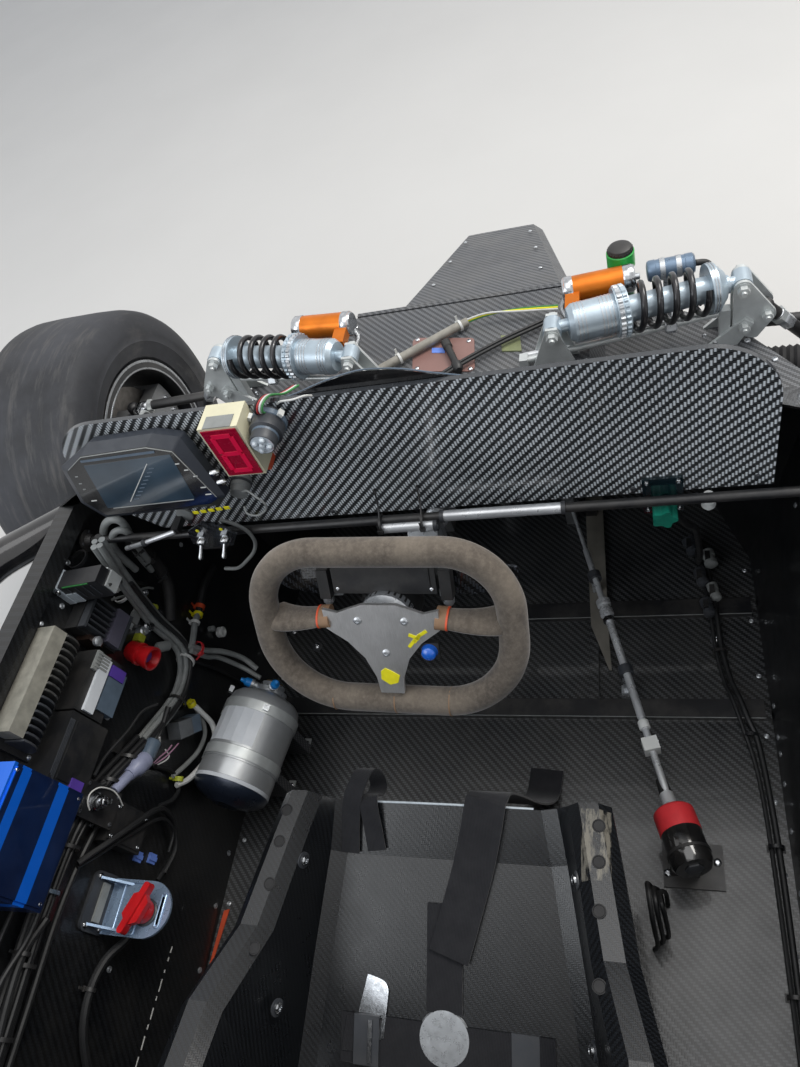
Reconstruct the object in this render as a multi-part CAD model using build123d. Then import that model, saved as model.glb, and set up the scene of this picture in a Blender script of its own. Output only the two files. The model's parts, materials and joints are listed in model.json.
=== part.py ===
"""Open sports prototype race car, front bodywork off: central seat, tube hoop, inboard dampers, slick tyres.

Millimetres. +X is forward, +Y is left, +Z is up. The origin is on the ground under the middle of the car.
"""
from build123d import *
from math import cos, radians, sin, sqrt
import os

# Clearances
RUNNING_GAP = 0.1
SEAT_GAP = 0.3

# Overall
WHEELBASE = 2500
FRONT_AXLE_X = 1380
REAR_AXLE_X = FRONT_AXLE_X - WHEELBASE
NOSE_TIP_X = 1866
WING_TAIL_X = -1866
FRONT_TRACK = 1600
REAR_TRACK = 1560
BODY_HALF = 895

# Wheels and tyres
FRONT_TYRE_R = 280
REAR_TYRE_R = 290
FRONT_TYRE_W = 240
REAR_TYRE_W = 280
RIM_R = 165
RIM_LIP = 12
RIM_WALL = 8
RIM_INSET = 14
RIM_LIP_THICK = 8
TYRE_SHOULDER = 24
HUB_R = 42
HUB_GAP = 5
STUB_R = 18
STUB_LENGTH = 55
DISC_R = 128
DISC_THICK = 18
SPOKES = 10

# Tub
FLOOR_TOP = 60
FLOOR_THICK = 15
TUB_HALF = 419
WALL_THICK = 12
WALL_LEAN = 0.159
RAIL = 25
RAIL_TOP = 600
FOOTBOX_TOP = 450
FOOTBOX_X = 1180
FOOTBOX_MID_X = 1320
FOOTBOX_MID_HALF = 365
NOSE_HALF = 200
FIREWALL_X = -60
FIREWALL_THICK = 12
BULKHEAD_X = 1440
BULKHEAD_THICK = 12
COVER_THICK = 4
HUMP_TOP = 490
HUMP_HALF = 215
RIB_W = 14
RIB_H = 8

SIDE_TUBE_R = 25

# Dash and scuttle
DASH_X = 950
DASH_THICK = 6
DASH_TOP = 750
DASH_BOTTOM = 545
DASH_LEFT = TUB_HALF + 17
DASH_RIGHT = 22 - TUB_HALF
DASH_CORNER = 75
SCUTTLE_CROWN = 742
SCUTTLE_THICK = 4
SCUTTLE_REAR_X = DASH_X + DASH_THICK + SEAT_GAP
CROSS_TUBE_X = 927
CROSS_TUBE_Z = 548
CROSS_TUBE_R = 15

DISPLAY_FOOT = (895, DASH_LEFT - 124, 645)
DISPLAY_TILT = 18
DISPLAY_ROLL = 4.5
DISPLAY_DEPTH = 19
INDICATOR_Y = (DASH_LEFT - 288, DASH_LEFT - 239)
LAMP_R = 15

# Steering
WHEEL_X = 750
WHEEL_Z = 611
RACK_X = 1290
RACK_Z = 330
RACK_R = 11
RACK_HOUSING_R = 20
RACK_HOUSING_HALF = 150
RACK_BALL_Y = 215
GRIP_R = 15
GRIP_HALF_W = 133
GRIP_TOP = 82
GRIP_BOTTOM = -98
COLUMN_R = 10
ARM_X = RACK_X
ARM_Y = 700
ARM_THICK = 12
ARM_CLEAR = 5
EYE_HALF = 8
ROD_R = 7

# Kingpin balls: place on the left side
LOWER_BALL = (1385, 706, 165)
UPPER_BALL = (1375, 686, 395)
BALL_R = 12
BOSS_R = 12
BOSS_LENGTH = 18
ARM_TUBE_R = 9

# Dampers on the footbox, left side
DAMPER_IN = (1248, 151, 553)
DAMPER_OUT = (1303, 401, 544)
ROCKER_PIVOT = (404, 484)
ROCKER_PUSH = (433, 497)
ROCKER_TIP = (418, 464)
ROCKER_HEEL = (395, 474)
PUSHROD_FOOT = (1378, 660, 196)
EYE_R = 13
PLATE_THICK = 5
DAMPER_R = 27
SHAFT_R = 18
COLLAR_R = 34
COLLAR_LENGTH = 17
COLLAR_AT = 103
CUP_AT = 46
SPRING_R = 35
WIRE_R = 4.5
SPRING_TURNS = 4.6
CANISTER_R = 19
DUCT_R = 27

# In the cockpit
BOTTLE_R = 60

# Rear
HOOP_X = -36
HOOP_R = 22.5
HOOP_TOP = 1000
ENGINE_LENGTH = 520
ENGINE_HALF = 170
ENGINE_BOTTOM = 62
ENGINE_TOP = 520
FRAME_Y = 250
FRAME_Z = 440
FRAME_R = 16
REAR_DAMPER_IN = (-1055, FRAME_Y + 40, 478)
REAR_DAMPER_OUT = (-1055, 544, 222)
BRACE_R = 18
BRACE_FOOT_Z = 462
GEARBOX_SIDE = 155
GEARBOX_TAIL_HALF = 90
DECK_Z = 540
SKIN = 5
WING_CHORD = 300
WING_HALF = 885
WING_Z = 930
PYLON_Y = 90.3
PYLON_THICK = 8
ENDPLATE_THICK = 6

NODES = {}


def keep(name, *shapes):
    """Store the solids of one sub-part under its node name."""
    solids = [solid for shape in shapes for solid in shape.solids()]
    NODES[name] = Compound(children=solids)


def both(shape):
    """A left piece and its mirror image on the right."""
    return [shape, mirror(shape, about=Plane.XZ)]


def outline(points):
    return make_face(Polyline(*points, close=True))


def side_plate(points, y_low, y_high):
    """Plate with its outline in X and Z."""
    return extrude(Plane.XZ.offset(-y_high) * outline(points), y_high - y_low)


def cross_plate(points, x_low, x_high):
    """Plate with its outline in Y and Z."""
    return extrude(Plane.YZ.offset(x_low) * outline(points), x_high - x_low)


def flat_plate(points, z_low, z_high):
    """Plate with its outline in X and Y."""
    return extrude(Plane.XY.offset(z_low) * outline(points), z_high - z_low)


def symmetric(points):
    """Close a half outline, given from front to back, with its mirror image."""
    return points + [(x, -y) for x, y in reversed(points)]


def symmetric_section(points):
    """Close a half outline of (Y, Z) points with its mirror image."""
    return points + [(-y, z) for y, z in reversed(points)]


def block(x_low, x_high, y_low, y_high, z_low, z_high):
    size = (x_high - x_low, y_high - y_low, z_high - z_low)
    middle = ((x_high + x_low) / 2, (y_high + y_low) / 2, (z_high + z_low) / 2)
    return Pos(*middle) * Box(*size)


def rod(start, end, radius):
    """Straight round bar between two points."""
    run = Vector(*end) - Vector(*start)
    seat = Plane(origin=start, z_dir=run)
    return seat * Cylinder(radius, run.length, align=(Align.CENTER, Align.CENTER, Align.MIN))


def disc(centre, axis, radius, length):
    """Round bar centred on a point."""
    return Plane(origin=centre, z_dir=axis) * Cylinder(radius, length)


def tube(points, radius, bends):
    """Bent round bar: straight runs joined by tangent arcs."""
    path = FilletPolyline(*points, radius=bends)
    section = Plane(origin=path @ 0, z_dir=path % 0) * Circle(radius)
    return sweep(section, path=path)


def turned(profile, start, end):
    """Solid turned from (distance along the axis, radius) points between two places."""
    seat = Plane(origin=start, z_dir=Vector(*end) - Vector(*start))
    face = Plane.XZ * outline([(r, along) for along, r in profile])
    return seat * revolve(face, axis=Axis.Z)


# Tub walls: columns are X, half width at the floor, lean outwards per mm of height, top
WALL_STATIONS = [
    (FIREWALL_X, TUB_HALF, WALL_LEAN, RAIL_TOP),
    (SCUTTLE_REAR_X, TUB_HALF, WALL_LEAN, RAIL_TOP),
    (FOOTBOX_X, TUB_HALF, WALL_LEAN, FOOTBOX_TOP),
    (FOOTBOX_MID_X, FOOTBOX_MID_HALF, 0.05, FOOTBOX_TOP),
    (BULKHEAD_X, NOSE_HALF, 0.04, FOOTBOX_TOP),
]


def wall_y(x, z, outside=True):
    """Half width of the tub at a place along the car and a height."""
    for (x0, y0, lean0, _), (x1, y1, lean1, _) in zip(WALL_STATIONS, WALL_STATIONS[1:]):
        if x0 <= x <= x1:
            t = (x - x0) / (x1 - x0)
            inner = y0 + lean0 * (z - FLOOR_TOP) + t * (y1 - y0 + (lean1 - lean0) * (z - FLOOR_TOP))
            return inner + (WALL_THICK if outside else 0)
    raise ValueError("no wall there")


def wall_section(x, half, lean, top):
    rise = top - FLOOR_TOP
    y_top = half + lean * rise
    y_rail = half + lean * (rise - RAIL)
    points = [
        (half, FLOOR_TOP), (half + WALL_THICK, FLOOR_TOP), (y_top + WALL_THICK, top),
        (y_top + WALL_THICK - RAIL, top), (y_rail + WALL_THICK - RAIL, top - RAIL), (y_rail, top - RAIL),
    ]
    return Plane.YZ.offset(x) * outline(points)


def side_walls():
    sections = [wall_section(*station) for station in WALL_STATIONS]
    left = loft(sections, ruled=True)
    hole_y = wall_y(RACK_X, RACK_Z)
    left -= disc((ARM_X, hole_y, RACK_Z), (0, 1, 0), ROD_R + 14, 120)
    keep("side_walls", *both(left))


POD_FRONT_X = 850
POD_REAR_X = -760
RADIATOR_GAP = 55
RADIATOR_TOP = 440


def floor_pan():
    half = [
        (BULKHEAD_X, NOSE_HALF + WALL_THICK), (FOOTBOX_MID_X, FOOTBOX_MID_HALF + WALL_THICK),
        (FOOTBOX_X, TUB_HALF + WALL_THICK),
        (POD_FRONT_X + 60, TUB_HALF + WALL_THICK), (POD_FRONT_X, BODY_HALF),
        (POD_REAR_X, BODY_HALF), (POD_REAR_X - 30, 460), (-960, 460),
    ]
    pan = flat_plate(symmetric(half), FLOOR_TOP - FLOOR_THICK, FLOOR_TOP)
    pan += block(885, 1335, -160 - RIB_W / 2, -160 + RIB_W / 2, FLOOR_TOP, FLOOR_TOP + RIB_H)
    for x in (893, 1091):
        pan += block(x - RIB_W / 2, x + RIB_W / 2, -TUB_HALF + 1, TUB_HALF - 1, FLOOR_TOP, FLOOR_TOP + RIB_H)
    keep("floor_pan", pan)


def bulkheads():
    rear_half = [(TUB_HALF + WALL_THICK, FLOOR_TOP), (wall_y(FIREWALL_X, RAIL_TOP), RAIL_TOP)]
    firewall = cross_plate(symmetric_section(rear_half), FIREWALL_X - FIREWALL_THICK, FIREWALL_X)
    front_half = [(NOSE_HALF + WALL_THICK, FLOOR_TOP), (wall_y(BULKHEAD_X, FOOTBOX_TOP), FOOTBOX_TOP)]
    front = cross_plate(symmetric_section(front_half), BULKHEAD_X, BULKHEAD_X + BULKHEAD_THICK)
    keep("bulkheads", firewall, front)


def footbox_cover():
    half = [
        (BULKHEAD_X + BULKHEAD_THICK, wall_y(BULKHEAD_X, FOOTBOX_TOP)),
        (BULKHEAD_X, wall_y(BULKHEAD_X, FOOTBOX_TOP)),
        (FOOTBOX_MID_X, wall_y(FOOTBOX_MID_X, FOOTBOX_TOP)),
        (FOOTBOX_X + SEAT_GAP, wall_y(FOOTBOX_X + SEAT_GAP, FOOTBOX_TOP)),
    ]
    cover = flat_plate(symmetric(half), FOOTBOX_TOP, FOOTBOX_TOP + COVER_THICK)
    base = Plane.XY.offset(FOOTBOX_TOP + COVER_THICK) * Pos(1321, 0) * Rectangle(234, 2 * HUMP_HALF)
    crown = Plane.XY.offset(HUMP_TOP) * Pos(1321, 0) * Rectangle(200, 2 * HUMP_HALF - 40)
    keep("footbox_cover", cover + loft([base, crown], ruled=True))


def crash_box():
    # columns: X, half width at the top, top, half width at the bottom, bottom, corner
    stations = [(BULKHEAD_X + 20, 175, 440, 165, 150, 22), (NOSE_TIP_X - 26, 84, 341, 76, 212, 16),
                (NOSE_TIP_X, 62, 325, 56, 226, 10)]
    root_x = BULKHEAD_X + BULKHEAD_THICK
    flange = cross_plate([(-205, 125), (205, 125), (205, 470), (-205, 470)], root_x, BULKHEAD_X + 20)
    sections = []
    for x, top_half, top, low_half, low, corner in stations:
        half = [(low_half - corner, low), (low_half, low + corner), (top_half, top - corner), (top_half - corner, top)]
        sections.append(Plane.YZ.offset(x) * outline(symmetric_section(half)))
    keep("crash_box", flange + loft(sections, ruled=True))


def arch(x, half, foot, crown, thick):
    """Closed section of a crowned sheet across the car."""
    outer = ThreePointArc((-half, foot), (0, crown), (half, foot))
    inner = ThreePointArc((half - thick, foot), (0, crown - thick), (-half + thick, foot))
    sides = [Line(outer @ 1, inner @ 0), Line(inner @ 1, outer @ 0)]
    return Plane.YZ.offset(x) * make_face([outer, *sides, inner])


def scuttle_cowl():
    rear = arch(SCUTTLE_REAR_X, wall_y(SCUTTLE_REAR_X, RAIL_TOP), RAIL_TOP + SEAT_GAP, SCUTTLE_CROWN,
                SCUTTLE_THICK)
    front = arch(FOOTBOX_X, wall_y(FOOTBOX_X, FOOTBOX_TOP), FOOTBOX_TOP + SEAT_GAP, HUMP_TOP + 8, SCUTTLE_THICK)
    keep("scuttle_cowl", loft([rear, front], ruled=True))


def dash_panel():
    corners = [(DASH_RIGHT, DASH_BOTTOM), (DASH_LEFT - 60, DASH_BOTTOM), (DASH_LEFT, DASH_BOTTOM + 60),
               (DASH_LEFT, DASH_TOP), (DASH_RIGHT, DASH_TOP)]
    face = outline(corners)
    top = face.vertices().filter_by(lambda v: v.Y > DASH_TOP - 1)
    face = fillet(top, DASH_CORNER)
    keep("dash_panel", extrude(Plane.YZ.offset(DASH_X) * face, DASH_THICK))


def cross_tube():
    reach = wall_y(CROSS_TUBE_X, CROSS_TUBE_Z - CROSS_TUBE_R, outside=False) - SEAT_GAP
    bar = rod((CROSS_TUBE_X, -reach, CROSS_TUBE_Z), (CROSS_TUBE_X, reach, CROSS_TUBE_Z), CROSS_TUBE_R)
    column_z = WHEEL_Z - (CROSS_TUBE_X - WHEEL_X) * COLUMN_SLOPE
    hanger = block(CROSS_TUBE_X - 14, CROSS_TUBE_X + 14, -20, 20, column_z - 20, CROSS_TUBE_Z)
    bore = rod(column_point(CROSS_TUBE_X - 60), column_point(CROSS_TUBE_X + 60), COLUMN_R + RUNNING_GAP)
    keep("column_bracket", bar + hanger - bore)


COLUMN_SLOPE = (WHEEL_Z - RACK_Z) / (RACK_X - WHEEL_X)


def column_point(x, offset=0):
    """Point on the steering axis at a place along the car."""
    return (x, 0, WHEEL_Z - (x - WHEEL_X) * COLUMN_SLOPE + offset)


def steering():
    aim = Vector(-1, 0, COLUMN_SLOPE)
    seat = Plane(origin=column_point(WHEEL_X), x_dir=(0, -1, 0), z_dir=aim)
    shape = outline([(-GRIP_HALF_W, GRIP_TOP), (GRIP_HALF_W, GRIP_TOP), (GRIP_HALF_W, GRIP_BOTTOM),
                     (-GRIP_HALF_W, GRIP_BOTTOM)])
    shape = fillet(shape.vertices().filter_by(lambda v: v.Y > 0), 66)
    shape = fillet(shape.vertices().filter_by(lambda v: v.Y < GRIP_BOTTOM + 1), 80)
    path = shape.wires()[0]
    section = Plane(origin=path @ 0, z_dir=path % 0) * Circle(GRIP_R)
    rim = sweep(section, path=path)
    spokes = extrude(outline([(-GRIP_HALF_W, 26), (GRIP_HALF_W, 26), (GRIP_HALF_W, -6), (26, -22), (14, GRIP_BOTTOM),
                              (-14, GRIP_BOTTOM), (-26, -22), (-GRIP_HALF_W, -6)]), -6)
    plate = extrude(outline([(-62, 24), (62, 24), (58, 4), (14, -76), (-14, -76), (-58, 4)]), 4)
    keep("steering_wheel", seat * (rim + spokes + plate))
    unit = Pos(0, 44, -34) * Box(112, 40, 44) + Pos(0, 0, -31) * Box(60, 60, 50)
    paddles = Pos(98, 30, -34) * Box(90, 34, 5) + Pos(-98, 30, -34) * Box(90, 34, 5)
    keep("shift_unit", seat * (unit + paddles))
    start = seat.from_local_coords((0, 0, -56))
    keep("steering_column", rod((start.X, start.Y, start.Z), column_point(RACK_X - 48), COLUMN_R))


def steering_rack():
    housing = rod((RACK_X, -RACK_HOUSING_HALF, RACK_Z), (RACK_X, RACK_HOUSING_HALF, RACK_Z), RACK_HOUSING_R)
    housing += block(RACK_X - 34, RACK_X + 28, -36, 36, RACK_Z - 28, RACK_Z + 34)
    for y in (-120, 120):
        housing += block(RACK_X - 12, RACK_X + 12, y - 10, y + 10, FLOOR_TOP, RACK_Z)
    housing -= rod((RACK_X, -400, RACK_Z), (RACK_X, 400, RACK_Z), RACK_R + RUNNING_GAP)
    keep("steering_rack", housing)
    ball_low, ball_high = RACK_BALL_Y - 14, RACK_BALL_Y + 16
    half = [(0, RACK_R), (ball_low, RACK_R), (ball_low + 8, 17), (ball_high - 8, 17), (ball_high, ROD_R),
            (ARM_Y, ROD_R)]
    profile = [(-along, r) for along, r in reversed(half)][:-1] + half[1:]
    bar = turned([(-ARM_Y, 0)] + profile + [(ARM_Y, 0)], (RACK_X, 0, RACK_Z), (RACK_X, 1, RACK_Z))
    for side in (-1, 1):
        bar += Pos(ARM_X, side * ARM_Y, RACK_Z) * Cylinder(EYE_R, 2 * EYE_HALF)
    keep("track_rods", bar)


def upright_left():
    x, y, z = FRONT_AXLE_X, FRONT_TRACK / 2, FRONT_TYRE_R
    back, face = y - 88, y - 62
    plate = disc((x, (back + face) / 2, z), (0, 1, 0), 62, face - back)
    kingpin = (Vector(*UPPER_BALL) - Vector(*LOWER_BALL)).normalized()
    for ball, way in ((UPPER_BALL, -1), (LOWER_BALL, 1)):
        seat = Vector(*ball) + kingpin * way * (BALL_R + SEAT_GAP + BOSS_LENGTH / 2)
        plate += disc((seat.X, seat.Y, seat.Z), kingpin, BOSS_R, BOSS_LENGTH)
        plate += block(seat.X - 8, seat.X + 8, seat.Y, face, seat.Z - 6, seat.Z + 6)
        tip = seat.Z - way * 6
        plate += side_plate([(x - 20, z), (seat.X - 14, tip), (seat.X + 14, tip), (x + 26, z)], back, face)
    arm_top = RACK_Z - EYE_HALF - ARM_CLEAR
    arm = flat_plate([(ARM_X - 14, ARM_Y - 14), (x - 20, back), (x + 10, back), (x + 10, face), (x - 20, face),
                      (ARM_X - 14, ARM_Y + 14)], arm_top - ARM_THICK, arm_top)
    plate += arm
    hub_face = face + HUB_GAP
    plate += disc((x, face + STUB_LENGTH / 2, z), (0, 1, 0), STUB_R, STUB_LENGTH)
    disc_low = hub_face + 8
    caliper = block(x + 78, x + 150, face - 20, disc_low + DISC_THICK + 26, z - 52, z + 52)
    caliper &= disc((x, y, z), (0, 1, 0), DISC_R + 17, 400)
    caliper -= disc((x, disc_low + DISC_THICK / 2, z), (0, 1, 0), DISC_R + 5, DISC_THICK + 2 * HUB_GAP)
    plate += side_plate([(x, z - 40), (x + 100, z - 40), (x + 100, z + 40), (x, z + 40)], back, face)
    return plate + caliper


def wheel(axle_x, centre_y, tyre_r, tyre_w, face_y):
    """Rim with its hub and disc, and its slick tyre. face_y is the hub's inner face."""
    axis = Vector(0, 1, 0)
    inner, outer = centre_y - tyre_w / 2, centre_y + tyre_w / 2
    low, high = inner + RIM_INSET, outer - RIM_INSET
    half = (high - low) / 2
    barrel_r = RIM_R - RIM_WALL
    lip_r, shelf = RIM_R + RIM_LIP, half - RIM_LIP_THICK
    ring = [(-half, lip_r), (-shelf, lip_r), (-shelf, RIM_R), (shelf, RIM_R), (shelf, lip_r), (half, lip_r),
            (half, barrel_r), (-half, barrel_r)]
    face = Plane.XZ * outline([(r, along) for along, r in ring])
    rim = revolve(face, axis=Axis.Z)
    spoke_y = half - 40
    hub_low = face_y - centre_y
    hub = Pos(0, 0, (hub_low + spoke_y) / 2) * Cylinder(HUB_R, spoke_y - hub_low)
    hub += Pos(0, 0, spoke_y) * Cylinder(68, 24)
    disc_mid = hub_low + 8 + DISC_THICK / 2
    hub += Pos(0, 0, disc_mid) * Cylinder(DISC_R, DISC_THICK)
    for turn in range(SPOKES):
        blade = Pos((60 + barrel_r + 3) / 2, 0, spoke_y) * Box(barrel_r + 3 - 60, 16, 20)
        hub += Rot(0, 0, turn * 360 / SPOKES) * blade
    hub -= Pos(0, 0, hub_low) * Cylinder(STUB_R + RUNNING_GAP, 2 * STUB_LENGTH)
    seat = Plane(origin=(axle_x, centre_y, tyre_r), z_dir=axis)
    bead, side = shelf - SEAT_GAP, tyre_w / 2 - 3
    left = [(bead, RIM_R + SEAT_GAP), (bead, lip_r + 2), (side, tyre_r - TYRE_SHOULDER),
            (tyre_w / 2 - TYRE_SHOULDER, tyre_r)]
    right = [(-along, r) for along, r in reversed(left)]
    tyre = revolve(Plane.XZ * outline([(r, along) for along, r in left + right]), axis=Axis.Z)
    return seat * (rim + hub), seat * tyre


def front_wheels():
    hub_face = FRONT_TRACK / 2 - 62 + HUB_GAP
    rim, tyre = wheel(FRONT_AXLE_X, FRONT_TRACK / 2, FRONT_TYRE_R, FRONT_TYRE_W, hub_face)
    upright = upright_left()
    for side, shapes in (("left", [rim, tyre, upright]), ("right", [mirror(s, about=Plane.XZ) for s in (rim, tyre, upright)])):
        keep(f"rim_front_{side}", shapes[0])
        keep(f"tyre_front_{side}", shapes[1])
        keep(f"upright_front_{side}", shapes[2])


REAR_UPRIGHT_Y = REAR_TRACK / 2 - 92


def rear_wheels():
    hub_face = REAR_UPRIGHT_Y + 26 + HUB_GAP
    rim, tyre = wheel(REAR_AXLE_X, REAR_TRACK / 2, REAR_TYRE_R, REAR_TYRE_W, hub_face)
    x, z = REAR_AXLE_X, REAR_TYRE_R
    body = disc((x, REAR_UPRIGHT_Y + 13, z), (0, 1, 0), 66, 26)
    body += side_plate([(x - 40, z), (x - 22, z + 126), (x + 22, z + 126), (x + 40, z)], REAR_UPRIGHT_Y, REAR_UPRIGHT_Y + 26)
    body += side_plate([(x - 40, z), (x - 22, z - 118), (x + 22, z - 118), (x + 40, z)], REAR_UPRIGHT_Y, REAR_UPRIGHT_Y + 26)
    body -= disc((x, REAR_UPRIGHT_Y, z), (0, 1, 0), STUB_R + RUNNING_GAP, 200)
    low, joint_out = GEARBOX_SIDE + SEAT_GAP, REAR_UPRIGHT_Y - HUB_GAP
    profile = [(0, 0), (0, 40), (66, 42), (76, 14), (joint_out - 76 - low, 14), (joint_out - 66 - low, 42),
               (joint_out - low, 40), (joint_out - low, STUB_R), (hub_face + STUB_LENGTH - 2 - low, STUB_R),
               (hub_face + STUB_LENGTH - 2 - low, 0)]
    shaft = turned(profile, (x, low, z), (x, low + 1, z))
    keep("rear_uprights", *both(body))
    for side, shapes in (("left", [rim, tyre, shaft]), ("right", [mirror(s, about=Plane.XZ) for s in (rim, tyre, shaft)])):
        keep(f"rim_rear_{side}", shapes[0])
        keep(f"tyre_rear_{side}", shapes[1])
        keep(f"drive_shaft_{side}", shapes[2])


def wishbone(ball, legs):
    """A-arm with its outer ball and two legs, as one welded piece."""
    arm = Pos(*ball) * Sphere(BALL_R)
    for leg in legs:
        arm += rod(ball, leg, ARM_TUBE_R)
        arm += Pos(*leg) * Sphere(BALL_R)
    return arm


def wall_ball(x, z):
    """Inner joint of a wishbone, resting against the tub wall."""
    slope = (wall_y(x + 1, z) - wall_y(x - 1, z)) / 2
    return (x, wall_y(x, z) + (BALL_R + SEAT_GAP) * sqrt(1 + slope ** 2 + WALL_LEAN ** 2), z)


def front_suspension():
    lower = wishbone(LOWER_BALL, [wall_ball(1215, 130), wall_ball(1425, 130)])
    upper = wishbone(UPPER_BALL, [wall_ball(1225, 362), wall_ball(1425, 375)])
    foot_x, foot_y, foot_z = PUSHROD_FOOT
    pad_top = foot_z - BALL_R - SEAT_GAP
    lower += block(foot_x - 14, foot_x + 14, foot_y - 14, foot_y + 14, LOWER_BALL[2] - 20, pad_top)
    keep("front_wishbones", *both(lower), *both(upper))
    push_top = (DAMPER_OUT[0], *ROCKER_PUSH)
    pushrod = Pos(*push_top) * Sphere(11) + rod(push_top, PUSHROD_FOOT, 9) + Pos(*PUSHROD_FOOT) * Sphere(BALL_R)
    keep("front_pushrods", *both(pushrod))


def coil_over(start, end):
    """Damper with its collar and cup, and its coil spring, along one axis from the inboard pin."""
    length = (Vector(*end) - Vector(*start)).length
    low, high = COLLAR_AT, length - CUP_AT
    body = [(0, 0), (0, 9), (22, 9), (22, 22), (29, DAMPER_R), (low - COLLAR_LENGTH, DAMPER_R),
            (low - COLLAR_LENGTH, COLLAR_R), (low, COLLAR_R), (low, SHAFT_R), (high, SHAFT_R), (high, COLLAR_R),
            (high + 10, COLLAR_R), (high + 22, 20), (high + 22, 9), (length, 9), (length, 0)]
    damper = turned(body, start, end)
    for pin in (start, end):
        damper += disc(pin, (1, 0, 0), EYE_R, 2 * EYE_R)
    low, high = low + SEAT_GAP + WIRE_R, high - SEAT_GAP - WIRE_R
    path = Helix(pitch=(high - low) / SPRING_TURNS, height=high - low, radius=SPRING_R - WIRE_R)
    coil = sweep(Plane(origin=path @ 0, z_dir=path % 0) * Circle(WIRE_R), path=path)
    seat = Plane(origin=start, x_dir=(1, 0, 0), z_dir=Vector(*end) - Vector(*start))
    return damper, seat * Pos(0, 0, low) * coil


def hull_plate(circles, x_low, x_high):
    """Plate across the car with its outline stretched round circles of (Y, Z, radius)."""
    edges = []
    for y, z, r in circles:
        edges += (Pos(y, z) * Circle(r)).edges()
    return extrude(Plane.YZ.offset(x_low) * make_hull(edges), x_high - x_low)


def front_dampers():
    front = coil_over(DAMPER_IN, DAMPER_OUT)
    rear = coil_over(REAR_DAMPER_IN, REAR_DAMPER_OUT)
    keep("dampers", *both(front[0]), *both(rear[0]))
    keep("coil_springs", *both(front[1]), *both(rear[1]))
    x = DAMPER_OUT[0]
    rocker_faces = [(x - EYE_R - SEAT_GAP - PLATE_THICK, x - EYE_R - SEAT_GAP),
                    (x + EYE_R + SEAT_GAP, x + EYE_R + SEAT_GAP + PLATE_THICK)]
    circles = [(DAMPER_OUT[1], DAMPER_OUT[2], 12), (*ROCKER_PUSH, 11), (*ROCKER_TIP, 6), (*ROCKER_HEEL, 6)]
    plates = [hull_plate(circles, low, high) for low, high in rocker_faces]
    pin = disc((x, *ROCKER_PIVOT), (1, 0, 0), 9, 2 * (EYE_R + SEAT_GAP + PLATE_THICK))
    keep("front_rockers", *both(plates[0] + plates[1] + pin))
    reach = EYE_R + 2 * SEAT_GAP + PLATE_THICK
    y, z = ROCKER_PIVOT
    bracket_parts = []
    for low, high in ((x - reach - PLATE_THICK, x - reach), (x + reach, x + reach + PLATE_THICK)):
        foot = FOOTBOX_TOP + COVER_THICK
        bracket_parts.append(cross_plate([(y - 50, foot), (y - 8, foot), (y + 12, z + 4), (y, z + 13), (y - 12, z + 4)], low, high))
    x_in, y_in, z_in = DAMPER_IN
    for low, high in ((x_in - EYE_R - SEAT_GAP - PLATE_THICK, x_in - EYE_R - SEAT_GAP),
                      (x_in + EYE_R + SEAT_GAP, x_in + EYE_R + SEAT_GAP + PLATE_THICK)):
        ear = cross_plate([(y_in - 38, HUMP_TOP), (y_in + 30, HUMP_TOP), (y_in + 12, z_in - 6), (y_in + 8, z_in + 12),
                           (y_in - 8, z_in + 12), (y_in - 12, z_in)], low, high)
        bracket_parts.append(ear)
    tie_z, tie_y = 505, 379
    front_face = x - reach
    stand = block(front_face, front_face + 14, tie_y - 7, tie_y + 7, FOOTBOX_TOP + COVER_THICK, tie_z + 7)
    stand += rod((front_face + 7, tie_y, tie_z), (x_in - 4, 105, tie_z), 5)
    stand += block(x_in - 12, x_in + 4, 98, 110, HUMP_TOP, tie_z + 7)
    bracket_parts[0] += stand
    keep("damper_brackets", *[piece for part in bracket_parts for piece in both(part)])
    cap_x, cap_y = 1330, 166
    canister = rod((1338, 258, 550), (cap_x, cap_y, 550), CANISTER_R)
    along = (DAMPER_OUT[0] - DAMPER_IN[0]) / (DAMPER_OUT[1] - DAMPER_IN[1])
    body_x = DAMPER_IN[0] + (cap_y + 10 - DAMPER_IN[1]) * along
    canister += block(body_x, cap_x, cap_y + 2, cap_y + 22, 542, 558)
    canister -= rod(DAMPER_IN, DAMPER_OUT, DAMPER_R + SEAT_GAP)
    keep("damper_canisters", *both(canister))


def fluid_reservoirs():
    foot = FOOTBOX_TOP + COVER_THICK + SEAT_GAP
    pot = turned([(0, 0), (0, 15), (62, 17), (66, 19), (86, 19), (91, 15), (91, 0)], (1378, -246, foot), (1378, -246, 560))
    bottle = rod((1352, -280, 545), (1356, -346, 545), 15) + block(1348, 1358, -312, -302, foot, 545)
    keep("fluid_reservoirs", pot, bottle)


def brace_line(side):
    """Axis of a roll hoop brace, from the hoop's shoulder to its pad on the engine frame."""
    return (HOOP_X, side * 238, 950), (-640, side * FRAME_Y, BRACE_FOOT_Z + 17)


def damper_ears(x):
    """Where the two ears at a damper's eye start along the car."""
    return x - EYE_R - SEAT_GAP - PLATE_THICK, x + EYE_R + SEAT_GAP


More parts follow.
